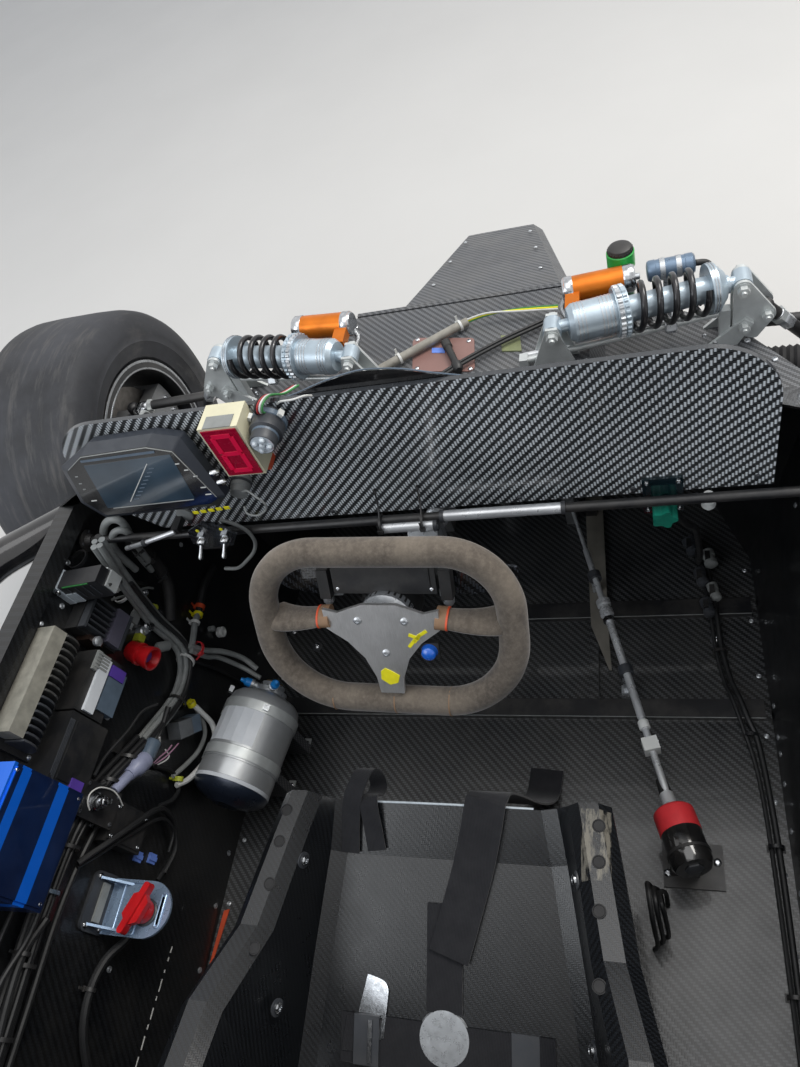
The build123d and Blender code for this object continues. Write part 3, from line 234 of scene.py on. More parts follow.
def carbon(name, tow, plane, light, rough, dark="0b0c0e", coat=0.0, dust=0.0, edge=False, worn=False,
           blur=0.06, rising=False):
    """Two by two twill of carbon tows, tow wide, under clear resin. The tows on top carry a painted sheen in
    the colour light, brightest on their crowns; the tows below stay near dark.

    edge paints a grey highlight on the sheet's edges, the faces that don't face along the car, and narrows
    the painted sheen on each tow; worn scuffs the seat's right front corner.
    """
    p = Paint(name, Coat_Weight=coat, Coat_Roughness=blur, Specular_IOR_Level=0.5)
    x, y, z = p.split()
    if plane == "auto":
        facing = p.split("Normal")
        nx, ny, nz = (p.calc("ABSOLUTE", n) for n in facing)
        flat = p.calc("GREATER_THAN", nz, p.calc("MAXIMUM", nx, ny))
        side = p.calc("GREATER_THAN", ny, nx)
        u = p.pick(p.calc("MAXIMUM", flat, side), x, y)
        v = p.pick(flat, y, z)
    else:
        axes = {"x": x, "y": y, "z": z}
        u, v = axes[plane[0]], axes[plane[1]]
    u, v = p.calc("DIVIDE", u, tow * MM), p.calc("DIVIDE", v, tow * MM)
    join = "ADD" if rising else "SUBTRACT"
    step = p.calc("FLOORED_MODULO", p.calc(join, p.calc("FLOOR", u), p.calc("FLOOR", v)), 4.0)
    warp = p.calc("LESS_THAN", step, 1.5)
    across = p.pick(warp, p.calc("FRACT", u), p.calc("FRACT", v))
    crown = p.calc("SINE", p.calc("MULTIPLY", across, pi))
    # painted sheen: the light colour goes on the tows on top, brightest on their crowns, where reflection
    # would be
    painted_sheen = p.times(p.spread(crown, 0.2, 0.95, 0.12 if edge else 0.3, 1.0),
                    p.spread(warp, 0.0, 1.0, 0.07, 1.0))
    tone = p.spread(p.noise(7.0, 3.0), 0.3, 0.7, 0.75, 1.1)
    colour = p.mix(p.times(painted_sheen, tone), rgb(dark), rgb(light))
    gloss = p.spread(p.noise(30.0, 4.0), 0.3, 0.7, rough - 0.05, rough + 0.06)
    if dust:
        colour, gloss = p.dusty(colour, gloss, 11.0, 9.0, 0.72, 0.42, dust, "8f8a80", 0.5)
    if worn:
        scratch = p.spread(p.noise(55.0, 9.0, (0.5, 2.2, 1), 0.75), 0.46, 0.56)
        corner = p.within(x, 0.571, 0.648), p.within(y, -0.205, -0.172), p.within(z, 0.3, 0.40)
        spot = p.times(*corner, scratch)
        colour = p.mix(spot, colour, rgb("6e6a60"))
        gloss = p.total(gloss, p.times(spot, 0.4))
    if edge:
        # painted highlight: grey on the faces that don't face along the car, the edges of the sheet
        rim = p.calc("LESS_THAN", p.calc("ABSOLUTE", p.split("Normal")[0]), 0.6)
        colour = p.mix(rim, colour, rgb("303337"))
    p.set("Base Color", colour)
    p.set("Roughness", gloss)
    p.bump(crown, 0.10 * MM, 0.6)
    return p.material


def brushed(name, code, rough, stretch=(4, 90, 4)):
    """Bare metal with long brushed lines."""
    p = Paint(name, Metallic=1.0)
    base = rgb(code)
    lines = p.noise(26.0, 7.0, stretch, 0.7)
    tone = p.spread(p.total(lines, p.noise(14.0, 5.0)), 0.75, 1.25)
    p.set("Base Color", p.mix(tone, darker(base, 0.3), base))
    p.gloss(lines, rough - 0.08, rough + 0.12)
    p.bump(lines, 0.02 * MM)
    return p.material


def suede():
    """Grey brown suede, paler and darker in random clouds with pale flecks, and a short nap."""
    p = Paint("suede", Sheen_Weight=0.25, Sheen_Roughness=0.5, Specular_IOR_Level=0.15)
    cloud = p.noise(17.0, 6.0, rough=0.62)
    fine = p.noise(170.0, 5.0, rough=0.7)
    colour = p.mix(p.spread(cloud, 0.34, 0.66), rgb("4b443d"), rgb("6d6459"))
    colour = p.mix(p.spread(fine, 0.42, 0.75, 0.0, 0.5), colour, rgb("83796d"))
    p.set("Base Color", colour)
    p.gloss(cloud, 0.82, 0.96)
    p.bump(p.total(fine, p.noise(1500.0, 2.0)), 0.12 * MM)
    p.bump(cloud, 0.7 * MM)
    return p.material


def tyre_rubber():
    """Slick rubber: scuffed grey tread, fine rings on the sidewall."""
    p = Paint("tyre_rubber", Specular_IOR_Level=0.35)
    cloud = p.noise(6.5, 8.0, rough=0.65)
    streak = p.noise(9.0, 6.0, (1, 7, 1), 0.7)
    colour = p.mix(p.spread(cloud, 0.35, 0.7), rgb("26272a"), rgb("45464a"))
    colour = p.mix(p.spread(streak, 0.5, 0.8, 0.0, 0.55), colour, rgb("6d6a66"))
    p.set("Base Color", colour)
    p.gloss(cloud, 0.55, 0.8)
    p.bump(p.noise(420.0, 4.0), 0.10 * MM)
    p.bump(streak, 0.35 * MM)
    return p.material


def webbing():
    """Black woven strap."""
    p = Paint("webbing", Specular_IOR_Level=0.25, Sheen_Weight=0.2)
    x, y, z = p.split()
    ribs = p.wave(p.total(x, p.times(y, 0.6)), 0.0022)
    weave = p.times(ribs, p.wave(p.calc("SUBTRACT", y, p.total(x, z)), 0.0035))
    p.set("Base Color", p.mix(p.spread(weave, -1, 1), rgb("0c0c0e"), rgb("232429")))
    p.gloss(p.noise(60.0), 0.7, 0.9)
    p.bump(weave, 0.15 * MM)
    return p.material


def springs():
    """Black spring wire with small chips down to the steel."""
    p = Paint("spring_steel", Metallic=0.6, Coat_Weight=0.6, Coat_Roughness=0.12)
    chip = p.spread(p.noise(120.0, 6.0, rough=0.7), 0.62, 0.72)
    p.set("Base Color", p.mix(chip, rgb("1c1c20"), rgb("77787c")))
    p.gloss(p.noise(40.0), 0.28, 0.45)
    p.bump(p.noise(500.0), 0.03 * MM)
    return p.material


def striped():
    """Navy anodised cover with three bright stripes along the car, at heights up the leaning wall."""
    p = Paint("striped_cover", Metallic=0.35, Coat_Weight=0.3)
    y, z = p.split()[1:3]
    height = p.total(p.times(z, 0.9876), p.times(y, 0.157))
    bands = [p.within(height, low, high) for low, high in ((0.560, 0.576), (0.618, 0.631), (0.638, 0.650))]
    stripe = p.calc("MAXIMUM", bands[0], p.calc("MAXIMUM", bands[1], bands[2]))
    cloud = p.spread(p.noise(25.0, 5.0), 0.3, 0.7)
    plain_part = p.mix(cloud, rgb("0a1a3c"), rgb("12274f"))
    p.set("Base Color", p.mix(stripe, plain_part, rgb("0b66d8")))
    p.gloss(p.noise(60.0, 4.0), 0.3, 0.45)
    p.bump(p.noise(900.0, 2.0), 0.03 * MM)
    return p.material


def core():
    """Radiator core: fine fins between flat tubes."""
    p = Paint("radiator_core", Metallic=0.7)
    y, z = p.split()[1:3]
    fins, tubes = p.wave(y, 0.0022), p.wave(z, 0.011)
    fin_tone = p.mix(p.spread(fins, -0.6, 0.8), rgb("1b1c1e"), rgb("74767a"))
    p.set("Base Color", p.mix(p.calc("GREATER_THAN", tubes, 0.55), fin_tone, rgb("909296")))
    p.gloss(p.noise(40.0), 0.4, 0.6)
    p.bump(p.total(fins, p.times(tubes, 2.0)), 0.5 * MM)
    return p.material


def exhaust_metal():
    """Steel pipe, browner with heat towards the engine, with blue patches."""
    p = Paint("exhaust_metal", Metallic=1.0)
    x = p.split()[0]
    heat = p.spread(p.total(x, p.times(p.noise(12.0, 4.0), 0.2)), -1.1, -0.45)
    colour = p.mix(heat, rgb("9c9a97"), rgb("8b6f55"))
    p.set("Base Color", p.mix(p.spread(p.noise(30.0, 5.0), 0.35, 0.75, 0.0, 0.6), colour, rgb("59606e")))
    p.gloss(p.noise(50.0), 0.25, 0.45)
    p.bump(p.noise(300.0), 0.04 * MM)
    return p.material


def braid():
    """Braided steel hose: crossed fine wires."""
    p = Paint("steel_braid", Metallic=0.9)
    x, y, z = p.split()
    weave = p.times(p.wave(p.total(x, y, z), 0.0032), p.wave(p.calc("SUBTRACT", p.total(x, z), y), 0.0032))
    p.set("Base Color", p.mix(p.spread(weave, -0.8, 0.8), rgb("55585c"), rgb("c4c7ca")))
    p.gloss(p.noise(80.0), 0.25, 0.45)
    p.bump(weave, 0.12 * MM)
    return p.material


def screen():
    """Blank display: grey blue glass."""
    p = Paint("display_screen", Roughness=0.08, Coat_Weight=0.8, Coat_Roughness=0.03)
    p.set("Base Color", p.mix(p.spread(p.noise(9.0, 3.0), 0.3, 0.7), rgb("1f2b35"), rgb("3b4b58")))
    p.bump(p.noise(700.0), 0.004 * MM)
    return p.material


# The fourth value of each carbon is the colour of its painted sheen on the top tows.
MATERIALS = {
    # edge gives the dash panel a painted highlight on its edges
    "carbon_dash": carbon("carbon_dash", 3.4, "yz", "e6ebee", 0.26, dark="050608", coat=0.6, edge=True,
                          rising=True),
    "carbon_floor": carbon("carbon_floor", 3.2, "xy", "4c4e50", 0.34, coat=0.3, dust=0.08),
    "carbon_wall": carbon("carbon_wall", 3.0, "xz", "1a1c1f", 0.34, coat=0.3, dust=0.05),
    "carbon_seat": carbon("carbon_seat", 2.0, "auto", "1d2024", 0.3, coat=0.25, worn=True, blur=0.24),
    "carbon_matte": carbon("carbon_matte", 3.0, "auto", "6b6d70", 0.48, dark="303236", coat=0.1, dust=0.2),
    "carbon_gloss": carbon("carbon_gloss", 3.0, "auto", "34373c", 0.2, coat=0.9),
    "tyre": tyre_rubber(),
    "suede": suede(),
    "webbing": webbing(),
    "spring": springs(),
    "stripes": striped(),
    "core": core(),
    "exhaust": exhaust_metal(),
    "screen": screen(),
    "brushed": brushed("brushed_plate", "d9dadc", 0.4),
    "bare_alu": brushed("bare_aluminium", "b9bcc0", 0.36, (30, 6, 30)),
    "braid": braid(),
}


def paint(key, code, rough, **more):
    """Add a plain finish to the materials."""
    MATERIALS[key] = finish(key, code, rough, **more)


# soot, and painted shade inside the exhaust tip
paint("soot_and_shade", "0e0d0c", 0.9, grain=0.2, grain_size=500.0)
paint("black_gloss", "101114", 0.16, dust=0.12, Coat_Weight=0.8, Coat_Roughness=0.05)
paint("black_satin", "1b1c1f", 0.42, dust=0.15)
paint("black_plastic", "1a1b1d", 0.5, grain=0.06, grain_size=1400.0, dust=0.12)
paint("dark_grey", "3a3d42", 0.45, dust=0.1)
paint("rubber", "141416", 0.7, grain=0.08, grain_size=700.0)
paint("alloy", "c4c8cc", 0.3, metal=0.7, mottle=0.2, size=60.0, grain=0.05)
paint("blue_alloy", "b4c2cc", 0.34, metal=0.55, mottle=0.12, size=60.0)
paint("zinc", "cfd3d2", 0.38, metal=0.45, mottle=0.18, size=45.0, grain=0.06)
paint("steel", "c9ccd0", 0.2, metal=1.0, mottle=0.35, size=120.0)
paint("cast", "8a8c8e", 0.55, metal=0.7, grain=0.25, grain_size=420.0, dust=0.2)
paint("white_paint", "d0d2d4", 0.34, mottle=0.05, size=4.0, grain=0.012, grain_size=160.0, Coat_Weight=0.4,
      Coat_Roughness=0.22)
paint("silver_paint", "b9bcbe", 0.35, metal=0.55, mottle=0.15, dust=0.25)
paint("white_plastic", "d9dad6", 0.45, mottle=0.1)
paint("cream", "d8d2b4", 0.5, mottle=0.12, dust=0.1)
paint("label", "d6dade", 0.35, mottle=0.1, size=60.0)
paint("red", "c3171d", 0.38, mottle=0.2, size=60.0)
paint("red_tape", "d8343a", 0.5, mottle=0.2, size=60.0)
paint("red_face", "a5082f", 0.25, mottle=0.15, size=60.0, Coat_Weight=0.4)
# painted glow: faint light from the digit's unlit bars
paint("red_digit_painted_glow", "d21444", 0.3, mottle=0.1, Emission_Strength=0.08, Emission_Color=rgb("ff1040"))
paint("orange", "d9761b", 0.35, metal=0.6, mottle=0.25)
paint("orange_trim", "d0502a", 0.5)
paint("yellow", "e9de1c", 0.55, mottle=0.15, size=80.0)
paint("blue", "1f62c8", 0.25, mottle=0.15, Coat_Weight=0.6)
paint("pale_blue", "6f8fe0", 0.4)
paint("purple", "5a3fa0", 0.45)
paint("teal", "14806a", 0.4, mottle=0.3, size=90.0)
paint("smoke", "15242a", 0.15, mottle=0.2, Coat_Weight=0.8)
paint("green", "2fae4a", 0.35)
paint("brass", "b08d4a", 0.32, metal=1.0, mottle=0.3)
paint("cable_black", "17181a", 0.55, grain=0.12, grain_size=650.0)
paint("cable_grey", "8f9290", 0.5, mottle=0.3, size=40.0, dust=0.2)
paint("cable_white", "d8d8d4", 0.45, mottle=0.15)
paint("cable_green", "3f8a4a", 0.45)
paint("cable_red", "a82a2a", 0.45)
paint("red_brown", "8c6a63", 0.4, mottle=0.25, size=12.0, dust=0.1)
paint("leather_band", "86694f", 0.7, mottle=0.2, size=90.0)
paint("clear", "c9d2d8", 0.08, mottle=0.2, size=200.0, Coat_Weight=1.0)
paint("dusty_plate", "8d8b80", 0.75, mottle=0.35, size=70.0, dust=0.3)
# painted highlight: the colour of the heat sink's lit fins
paint("fin_painted_lit", "6a6a68", 0.4, metal=0.5, mottle=0.55, size=130.0)
paint("violet_grey", "5a5866", 0.45, mottle=0.2, dust=0.1)
paint("bronze_part", "3a2c26", 0.35, metal=0.5, mottle=0.4, size=120.0)
paint("slate_plastic", "5c6b7a", 0.42, mottle=0.25, size=60.0)
paint("lilac_plastic", "8f94ad", 0.42, mottle=0.2, size=60.0, dust=0.1)
paint("smoke_clear", "55585a", 0.12, mottle=0.25, size=80.0, Coat_Weight=0.9)
paint("blue_plate", "9db4cf", 0.28, metal=0.55, mottle=0.22, size=26.0, grain=0.05)
# painted shade: the dark of the bottle's domed end
paint("bottle_end_painted_shade", "2f3746", 0.3, metal=0.4, mottle=0.3, size=20.0)
paint("plug_blue", "1d86d6", 0.35, mottle=0.15)
paint("floor_strip", "77736a", 0.5, mottle=0.3, size=30.0, dust=0.2)
paint("sleeve_silver", "dfe1e3", 0.3, metal=0.5, mottle=0.25, size=24.0)
paint("sleeve_beige", "9a968c", 0.6, mottle=0.3, size=60.0, dust=0.2)
paint("cable_pink", "b98aa4", 0.45)
paint("lime_tape", "b9c03a", 0.5, mottle=0.25, size=90.0)
paint("lime_dull", "7f8560", 0.5, mottle=0.3, size=40.0)
paint("pot_green", "4c7a5c", 0.25, mottle=0.2, Coat_Weight=0.5)
paint("bottle_blue", "6f8399", 0.3, metal=0.4, mottle=0.25)
paint("nut_colour", "8f1f24", 0.3, metal=0.8, mottle=0.25, size=60.0)
paint("rim_ring", "a4a7aa", 0.3, metal=0.9, mottle=0.3, size=60.0)
paint("disc_iron", "7a7672", 0.4, metal=0.9, mottle=0.35, size=80.0)
paint("mesh_metal", "3c3e42", 0.4, metal=0.8, mottle=0.2)
paint("lamp_red", "b01018", 0.12, mottle=0.15, size=80.0, Coat_Weight=1.0)
paint("lamp_clear", "c9cdd0", 0.1, mottle=0.2, size=200.0, Coat_Weight=1.0)
paint("display_case", "242932", 0.45, mottle=0.15)

# The solids by material. Those not named here are satin black.
NODES_IN = {
    "rubber": "brake_ducts",
    "carbon_wall": "bulkheads side_walls",
    "alloy": "column_bracket pedals wing_pylons",
    "carbon_matte": "crash_box footbox_cover",
    "zinc": "damper_brackets front_rockers",
    "orange": "damper_canisters",
    "carbon_dash": "dash_panel",
    "carbon_gloss": "diffuser rear_wing",
    "steel": "drive_shaft_left drive_shaft_right steering_column",
    "cast": "engine_block gearbox rear_uprights steering_rack upright_front_left upright_front_right",
    "exhaust": "exhaust",
    "carbon_floor": "floor_pan",
    "blue_alloy": "dampers",
    "spring": "coil_springs",
    "black_plastic": "gear_linkage fluid_reservoirs control_boxes shift_unit",
    "core": "radiators",
    "white_paint": "rear_deck rear_fenders side_pods",
    "webbing": "harness",
    "black_gloss": "roll_hoop scuttle_cowl side_tubes",
    "carbon_seat": "seat_shell",
    "tyre": "tyre_front_left tyre_front_right tyre_rear_left tyre_rear_right",
    "cable_black": "wiring_looms",
    "bare_alu": "isolator_switch",
    "silver_paint": "fire_bottle",
    "dark_grey": "dash_display dash_switches",
    "cream": "gear_indicator",
    "suede": "steering_wheel",
}

finish_of = {name: key for key, names in NODES_IN.items() for name in names.split()}
for name, node in NODES.items():
    node.data.materials.clear()
    node.data.materials.append(MATERIALS[finish_of.get(name, "black_satin")])


# Meshes
class Piece:
    """A mesh made of small solids in millimetres, each with its own material."""

    def __init__(self):
        """Start with no faces and no materials."""
        self.mesh = bmesh.new()
        self.materials = []

    def slot(self, name):
        """Number of a material in this mesh."""
        if name not in self.materials:
            self.materials.append(name)
        return self.materials.index(name)

    def faces(self, points, faces, name, place=None):
        """Add corners and faces, and give the new faces back."""
        place = place or Matrix.Identity(4)
        corners = [self.mesh.verts.new(place @ Vector(p)) for p in points]
        made = []
        for face in faces:
            new = self.mesh.faces.new([corners[i] for i in face])
            new.material_index = self.slot(name)
            new.smooth = True
            made.append(new)
        return made

    def loft(self, rings, name, place=None, closed=False):
        """Skin over rings of equally many corners, joined end to end or capped at both ends."""
        count, n = len(rings), len(rings[0])
        loops = []
        for i in range(count if closed else count - 1):
            this, after = i * n, (i + 1) % count * n
            loops += [(this + k, this + (k + 1) % n, after + (k + 1) % n, after + k) for k in range(n)]
        if not closed:
            loops += [tuple(range(n - 1, -1, -1)), tuple(range((count - 1) * n, count * n))]
        return self.faces([corner for ring in rings for corner in ring], loops, name, place)

    def soften(self, faces, bevel):
        """Round the sharp edges of some faces."""
        edges = {edge for face in faces for edge in face.edges if edge.is_manifold
                 and edge.calc_face_angle(0) > radians(25)}
        bmesh.ops.bevel(self.mesh, geom=list(edges), offset=bevel, segments=2, profile=0.5, affect="EDGES",
                        clamp_overlap=True)

    def prism(self, points, low, high, name, place=None, bevel=0.0):
        """Flat outline pushed from low to high along the local Z."""
        made = self.loft([[(x, y, z) for x, y in points] for z in (low, high)], name, place)
        if bevel:
            self.soften(made, bevel)

    def box(self, low, high, name, place=None, bevel=0.8):
        """Block between two corners."""
        points = [(low[0], low[1]), (high[0], low[1]), (high[0], high[1]), (low[0], high[1])]
        self.prism(points, low[2], high[2], name, place, bevel)

    def lathe(self, profile, start, end, name, steps=32):
        """Turned solid from (distance from start towards end, radius) points."""
        rings = [[(*point, along) for point in circle(radius, steps)] for along, radius in profile]
        self.loft(rings, name, aimed(start, end))

    def rod(self, start, end, radius, name, steps=16):
        """Plain round bar from start to end."""
        self.lathe([(0, radius), ((Vector(end) - Vector(start)).length, radius)], start, end, name, steps)

    def ring(self, profile, start, end, name, steps=64, place=None):
        """Turned ring from a closed (distance, radius) section that doesn't touch the axis."""
        rings = [[(x * radius, y * radius, along) for along, radius in profile] for x, y in circle(1, steps)]
        self.loft(rings, name, place or aimed(start, end), closed=True)

    def band(self, start, end, low, high, inner, outer, name, steps=64):
        """Ring of rectangular section between two distances from start towards end."""
        self.ring([(low, inner), (high, inner), (high, outer), (low, outer)], start, end, name, steps)

    def tube(self, points, radius, name, steps=10, closed=False, cut=6, flat=1.0):
        """Round or flattened cord through the points, on a smooth line."""
        line = smooth_line([Vector(p) for p in points], closed, cut)
        rings, normal = [], None
        count = len(line)
        for i, spot in enumerate(line):
            before = line[i - 1] if closed or i else line[0]
            after = line[(i + 1) % count] if closed or i < count - 1 else line[-1]
            ahead = (after - before).normalized()
            if normal is None:
                normal = ahead.orthogonal().normalized()
                if flat != 1.0:
                    normal = ahead.cross(UP).normalized()
            normal = (normal - ahead * normal.dot(ahead)).normalized()
            side = ahead.cross(normal)
            width = radius(i / (count - 1)) if callable(radius) else radius
            rings.append([spot + normal * a + side * b * flat for a, b in circle(width, steps)])
        self.loft(rings, name, closed=closed)

    def bolt(self, spot, axis, radius, name="steel", height=None):
        """Domed screw head with a socket."""
        height = height or radius * 0.7
        shares = [(0, 1), (0.55, 1), (0.9, 0.72), (1, 0.5), (0.5, 0.45), (0.5, 0.01)]
        self.lathe([(height * a, radius * b) for a, b in shares], spot, Vector(spot) + Vector(axis), name, 14)

    def hexagon(self, spot, axis, radius, height, name="steel"):
        """Six sided nut or head."""
        self.prism(circle(radius, 6), 0, height, name, aimed(spot, Vector(spot) + Vector(axis)),
                   radius * 0.08)

    def done(self, name, body="chassis", replaces=(), sharp=38):
        """Turn it into an object that rides on a body."""
        bmesh.ops.scale(self.mesh, vec=(MM, MM, MM), verts=self.mesh.verts)
        bmesh.ops.recalc_face_normals(self.mesh, faces=self.mesh.faces)
        data = bpy.data.meshes.new(name)
        self.mesh.to_mesh(data)
        self.mesh.free()
        for material in self.materials:
            data.materials.append(MATERIALS[material])
        data.set_sharp_from_angle(angle=radians(sharp))
        made = bpy.data.objects.new(name, data)
        bpy.context.scene.collection.objects.link(made)
        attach(made, body)
        if replaces:
            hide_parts(*replaces)
        return made


def at(place, *spot):
    """Point given in a local frame."""
    return place @ Vector(spot)


def circle(radius, steps):
    """Corners of a round outline."""
    return [(radius * cos(tau * i / steps), radius * sin(tau * i / steps)) for i in range(steps)]


def aimed(start, end):
    """Local frame at start with its Z towards end."""
    z = (Vector(end) - Vector(start)).normalized()
    x = z.orthogonal().normalized()
    if abs(z.z) < 0.9:
        x = UP.cross(z).normalized()
    return Matrix.Translation(Vector(start)) @ Matrix((x, z.cross(x), z)).transposed().to_4x4()


def plane(origin, x, y):
    """Local frame from its origin and the directions of its X and Y."""
    x, y = Vector(x).normalized(), Vector(y).normalized()
    return Matrix.Translation(Vector(origin)) @ Matrix((x, y, x.cross(y))).transposed().to_4x4()


def smooth_line(points, closed, cut):
    """Points of a smooth line through the given ones."""
    if len(points) < 3 and not closed:
        return points
    line, n = [], len(points)
    for i in range(n if closed else n - 1):
        p1, p2 = points[i], points[(i + 1) % n]
        p0 = points[i - 1] if closed or i else p1 * 2 - p2
        p3 = points[(i + 2) % n] if closed or i < n - 2 else p2 * 2 - p1
        for k in range(cut):
            t = k / cut
            line.append(0.5 * ((2 * p1) + (p2 - p0) * t + (2 * p0 - 5 * p1 + 4 * p2 - p3) * t * t
                               + (3 * p1 - p0 - 3 * p2 + p3) * t ** 3))
    if not closed:
        line.append(points[-1])
    return line


def mirrored(point, side):
    """The same point on the left (1) or the right (-1)."""
    return Vector((point[0], point[1] * side, point[2]))


# local frames: the left wall, which leans outwards, and sections to be pushed along X or across the car
WALL_FOOT = 419
WALL_UP, INWARD = (0, 0.157, 0.9876), (0, -0.9876, 0.157)
LEFT_WALL = Matrix.Translation((0, WALL_FOOT, FLOOR)) @ Matrix(((1, 0, 0), WALL_UP,
                                                                INWARD)).transposed().to_4x4()
ALONG_X = Matrix(((0, 0, 1, 0), (1, 0, 0, 0), (0, 1, 0, 0), (0, 0, 0, 1)))
ACROSS = Matrix(((1, 0, 0, 0), (0, 0, -1, 0), (0, 1, 0, 0), (0, 0, 0, 1)))


def wall(x, height, depth):
    """Point on the left wall: along the car, up the wall, and inwards from it."""
    return at(LEFT_WALL, x, height, depth)


# Steering wheel
WHEEL = plane((750, 0, 611), (0, -1, 0), (0.4616, 0, 0.887)) @ Matrix.Rotation(radians(-3), 4, "Z")
PLATE = WHEEL @ Matrix.Translation((0, -3, 8))


def rounded(corners, steps=8):
    """Outline with round corners from (x, y, radius)."""
    points, n = [], len(corners)
    for i in range(n):
        x, y, r = corners[i]
        here = Vector((x, y))
        before = (Vector(corners[i - 1][:2]) - here).normalized()
        after = (Vector(corners[(i + 1) % n][:2]) - here).normalized()
        if r <= 0:
            points.append((x, y))
            continue
        half = before.angle(after) / 2
        reach = r / (sin(half) / cos(half))
        centre = here + (before + after).normalized() * (r / sin(half))
        a, b = here + before * reach - centre, here + after * reach - centre
        turn = a.angle_signed(b)
        for k in range(steps + 1):
            v = a.copy()
            v.rotate(Matrix.Rotation(-turn * k / steps, 2))
            points.append(tuple(centre + v))
    return points


def rounded_box(low, high, radius, steps):
    """Rectangle with round corners between two of its corners."""
    (x0, y0), (x1, y1) = low, high
    return rounded([(x, y, radius) for x, y in ((x0, y0), (x1, y0), (x1, y1), (x0, y1))], steps)


def evened(points, step):
    """Outline with added points on its long straights."""
    line = []
    for i, start in enumerate(points):
        a, b = Vector(start), Vector(points[(i + 1) % len(points)])
        parts = max(1, round((b - a).length / step))
        line += [tuple(a + (b - a) * k / parts) for k in range(parts)]
    return line


def steering_wheel():
    """Suede rim and spokes, bare plate with its bolts, blue button, tapes and the hub behind."""
    p = Piece()
    rim = evened(rounded([(133, 82, 66), (-133, 82, 66), (-133, -98, 80), (133, -98, 80)], 10), 10)
    line = [at(WHEEL, x, y, 0) for x, y in rim]
    p.tube(line, 15.4, "suede", steps=18, closed=True, cut=2)
    for side in (-1, 1):
        spoke = [at(WHEEL, side * x, y, z) for x, y, z in
                 ((131, 5, -5), (112, 3, -1), (90, 5, 3), (62, 9, 4))]
        p.tube(spoke, lambda t: min(10 + 44 * t, 19 - 7 * t), "suede", steps=16, flat=0.55)
        band = [at(WHEEL, side * x, y, 4) for x, y in ((57, 9.5), (62, 9), (68, 8.5))]
        p.tube(band, 13.4, "leather_band", 16, flat=0.62)
        edge = [at(WHEEL, side * x, y, 4) for x, y in ((68, 8.5), (69, 8.4), (70, 8.3))]
        p.tube(edge, 13.8, "orange_trim", 16, flat=0.63)
    p.tube([at(WHEEL, 0, y, 3) for y in (-96, -88, -80)], lambda t: 15 - 3 * t, "suede", steps=14, flat=0.6)
    for x in (0, 60, -70):
        y = -98 if abs(x) < 61 else -97
        p.band(at(WHEEL, x, y, 0), at(WHEEL, x + 10, y, 0), -0.6, 0.6, 15.3, 15.8, "leather_band", 20)
    plate = [(-62, 25), (-46, 21), (-33, 26), (-18, 31), (18, 31), (33, 26), (46, 21), (62, 25), (61, 2),
             (40, -14), (24, -34), (15, -58), (13, -78), (-13, -78), (-15, -58), (-24, -34), (-40, -14),
             (-61, 2)]
    p.prism(plate, 0, 4.2, "brushed", PLATE, 0.7)
    out = WHEEL.to_3x3() @ UP
    for x, y in ((-25, 12), (25, 12), (0, -27)):
        p.bolt(at(PLATE, x, y, 4.2), out, 4.2, "alloy", 1.8)
    button = at(PLATE, 46, -26, -6), at(PLATE, 46, -26, 14)
    p.lathe([(0, 9), (5, 9.5), (7, 8), (8, 8), (12, 7.4), (14, 5.2), (14.8, 2)], *button, "blue", 24)
    p.box((36, -16, -6), (56, -34, 0), "black_plastic", PLATE, 1)
    tape = [(-9, -50), (-4, -46), (2, -49), (11, -55), (8, -64), (-1, -67), (-10, -60)]
    p.prism(tape, 4.2, 4.9, "yellow", PLATE, 0.2)
    for x, y, turn in ((30, -14, 0.9), (36, -8, 0.9), (42, -2, 0.6), (33, -6, -0.4)):
        spot = PLATE @ Matrix.Translation((x, y, 4.2)) @ Matrix.Rotation(turn, 4, "Z")
        p.box((-6, -1.8, 0), (6, 1.8, 0.6), "yellow", spot, 0.2)
    p.lathe([(0, 24), (8, 27), (11.6, 30), (24, 30), (28, 26), (44, 24), (48, 16)], at(PLATE, 0, 3, -0.4),
            at(PLATE, 0, 3, -60), "alloy", 32)
    return p.done("steering_wheel_trimmed", "steering_wheel", ["steering_wheel"])


def shift_unit():
    """Box behind the wheel with a paddle, a clamp and a switch on each side."""
    p = Piece()
    p.box((-56, 26, -56), (56, 64, -14), "black_plastic", WHEEL, 2.2)
    p.box((-50, 30, -14), (50, 58, -12.8), "black_satin", WHEEL, 0.5)
    p.prism([(-54, 58), (54, 58), (50, 72), (-50, 72)], -52, -20, "dark_grey", WHEEL, 1.5)
    for x, y in ((-51, 32), (51, 32), (-51, 60), (51, 60)):
        p.bolt(at(WHEEL, x, y, -13.6), WHEEL.to_3x3() @ UP, 2.2)
    for side in (-1, 1):
        blade = [(side * x, y) for x, y in ((52, 18), (84, 14), (118, 20), (138, 34), (136, 46), (112, 50),
                                            (70, 44), (52, 40))]
        p.prism(blade, -38, -34, "carbon_gloss", WHEEL, 0.8)
        near, far = sorted((side * 54, side * 66))
        p.box((near, 14, -44), (far, 40, -30), "alloy", WHEEL, 1.2)
        near, far = sorted((side * 60, side * 72))
        p.box((near, 20, -26), (far, 54, -12), "black_plastic", WHEEL, 2)
        p.lathe([(0, 6), (6, 6), (9, 4)], at(WHEEL, side * 66, 20, -19), at(WHEEL, side * 66, 8, -19),
                "alloy", 16)
    p.lathe([(0, 30), (44, 30), (48, 26)], at(WHEEL, 0, 0, -8), at(WHEEL, 0, 0, -56), "black_satin", 28)
    p.box((2, 66, -44), (32, 73, -32), "orange_trim", WHEEL, 1)
    return p.done("shift_unit_detailed", "steering_wheel", ["shift_unit"])


steering_wheel()
shift_unit()


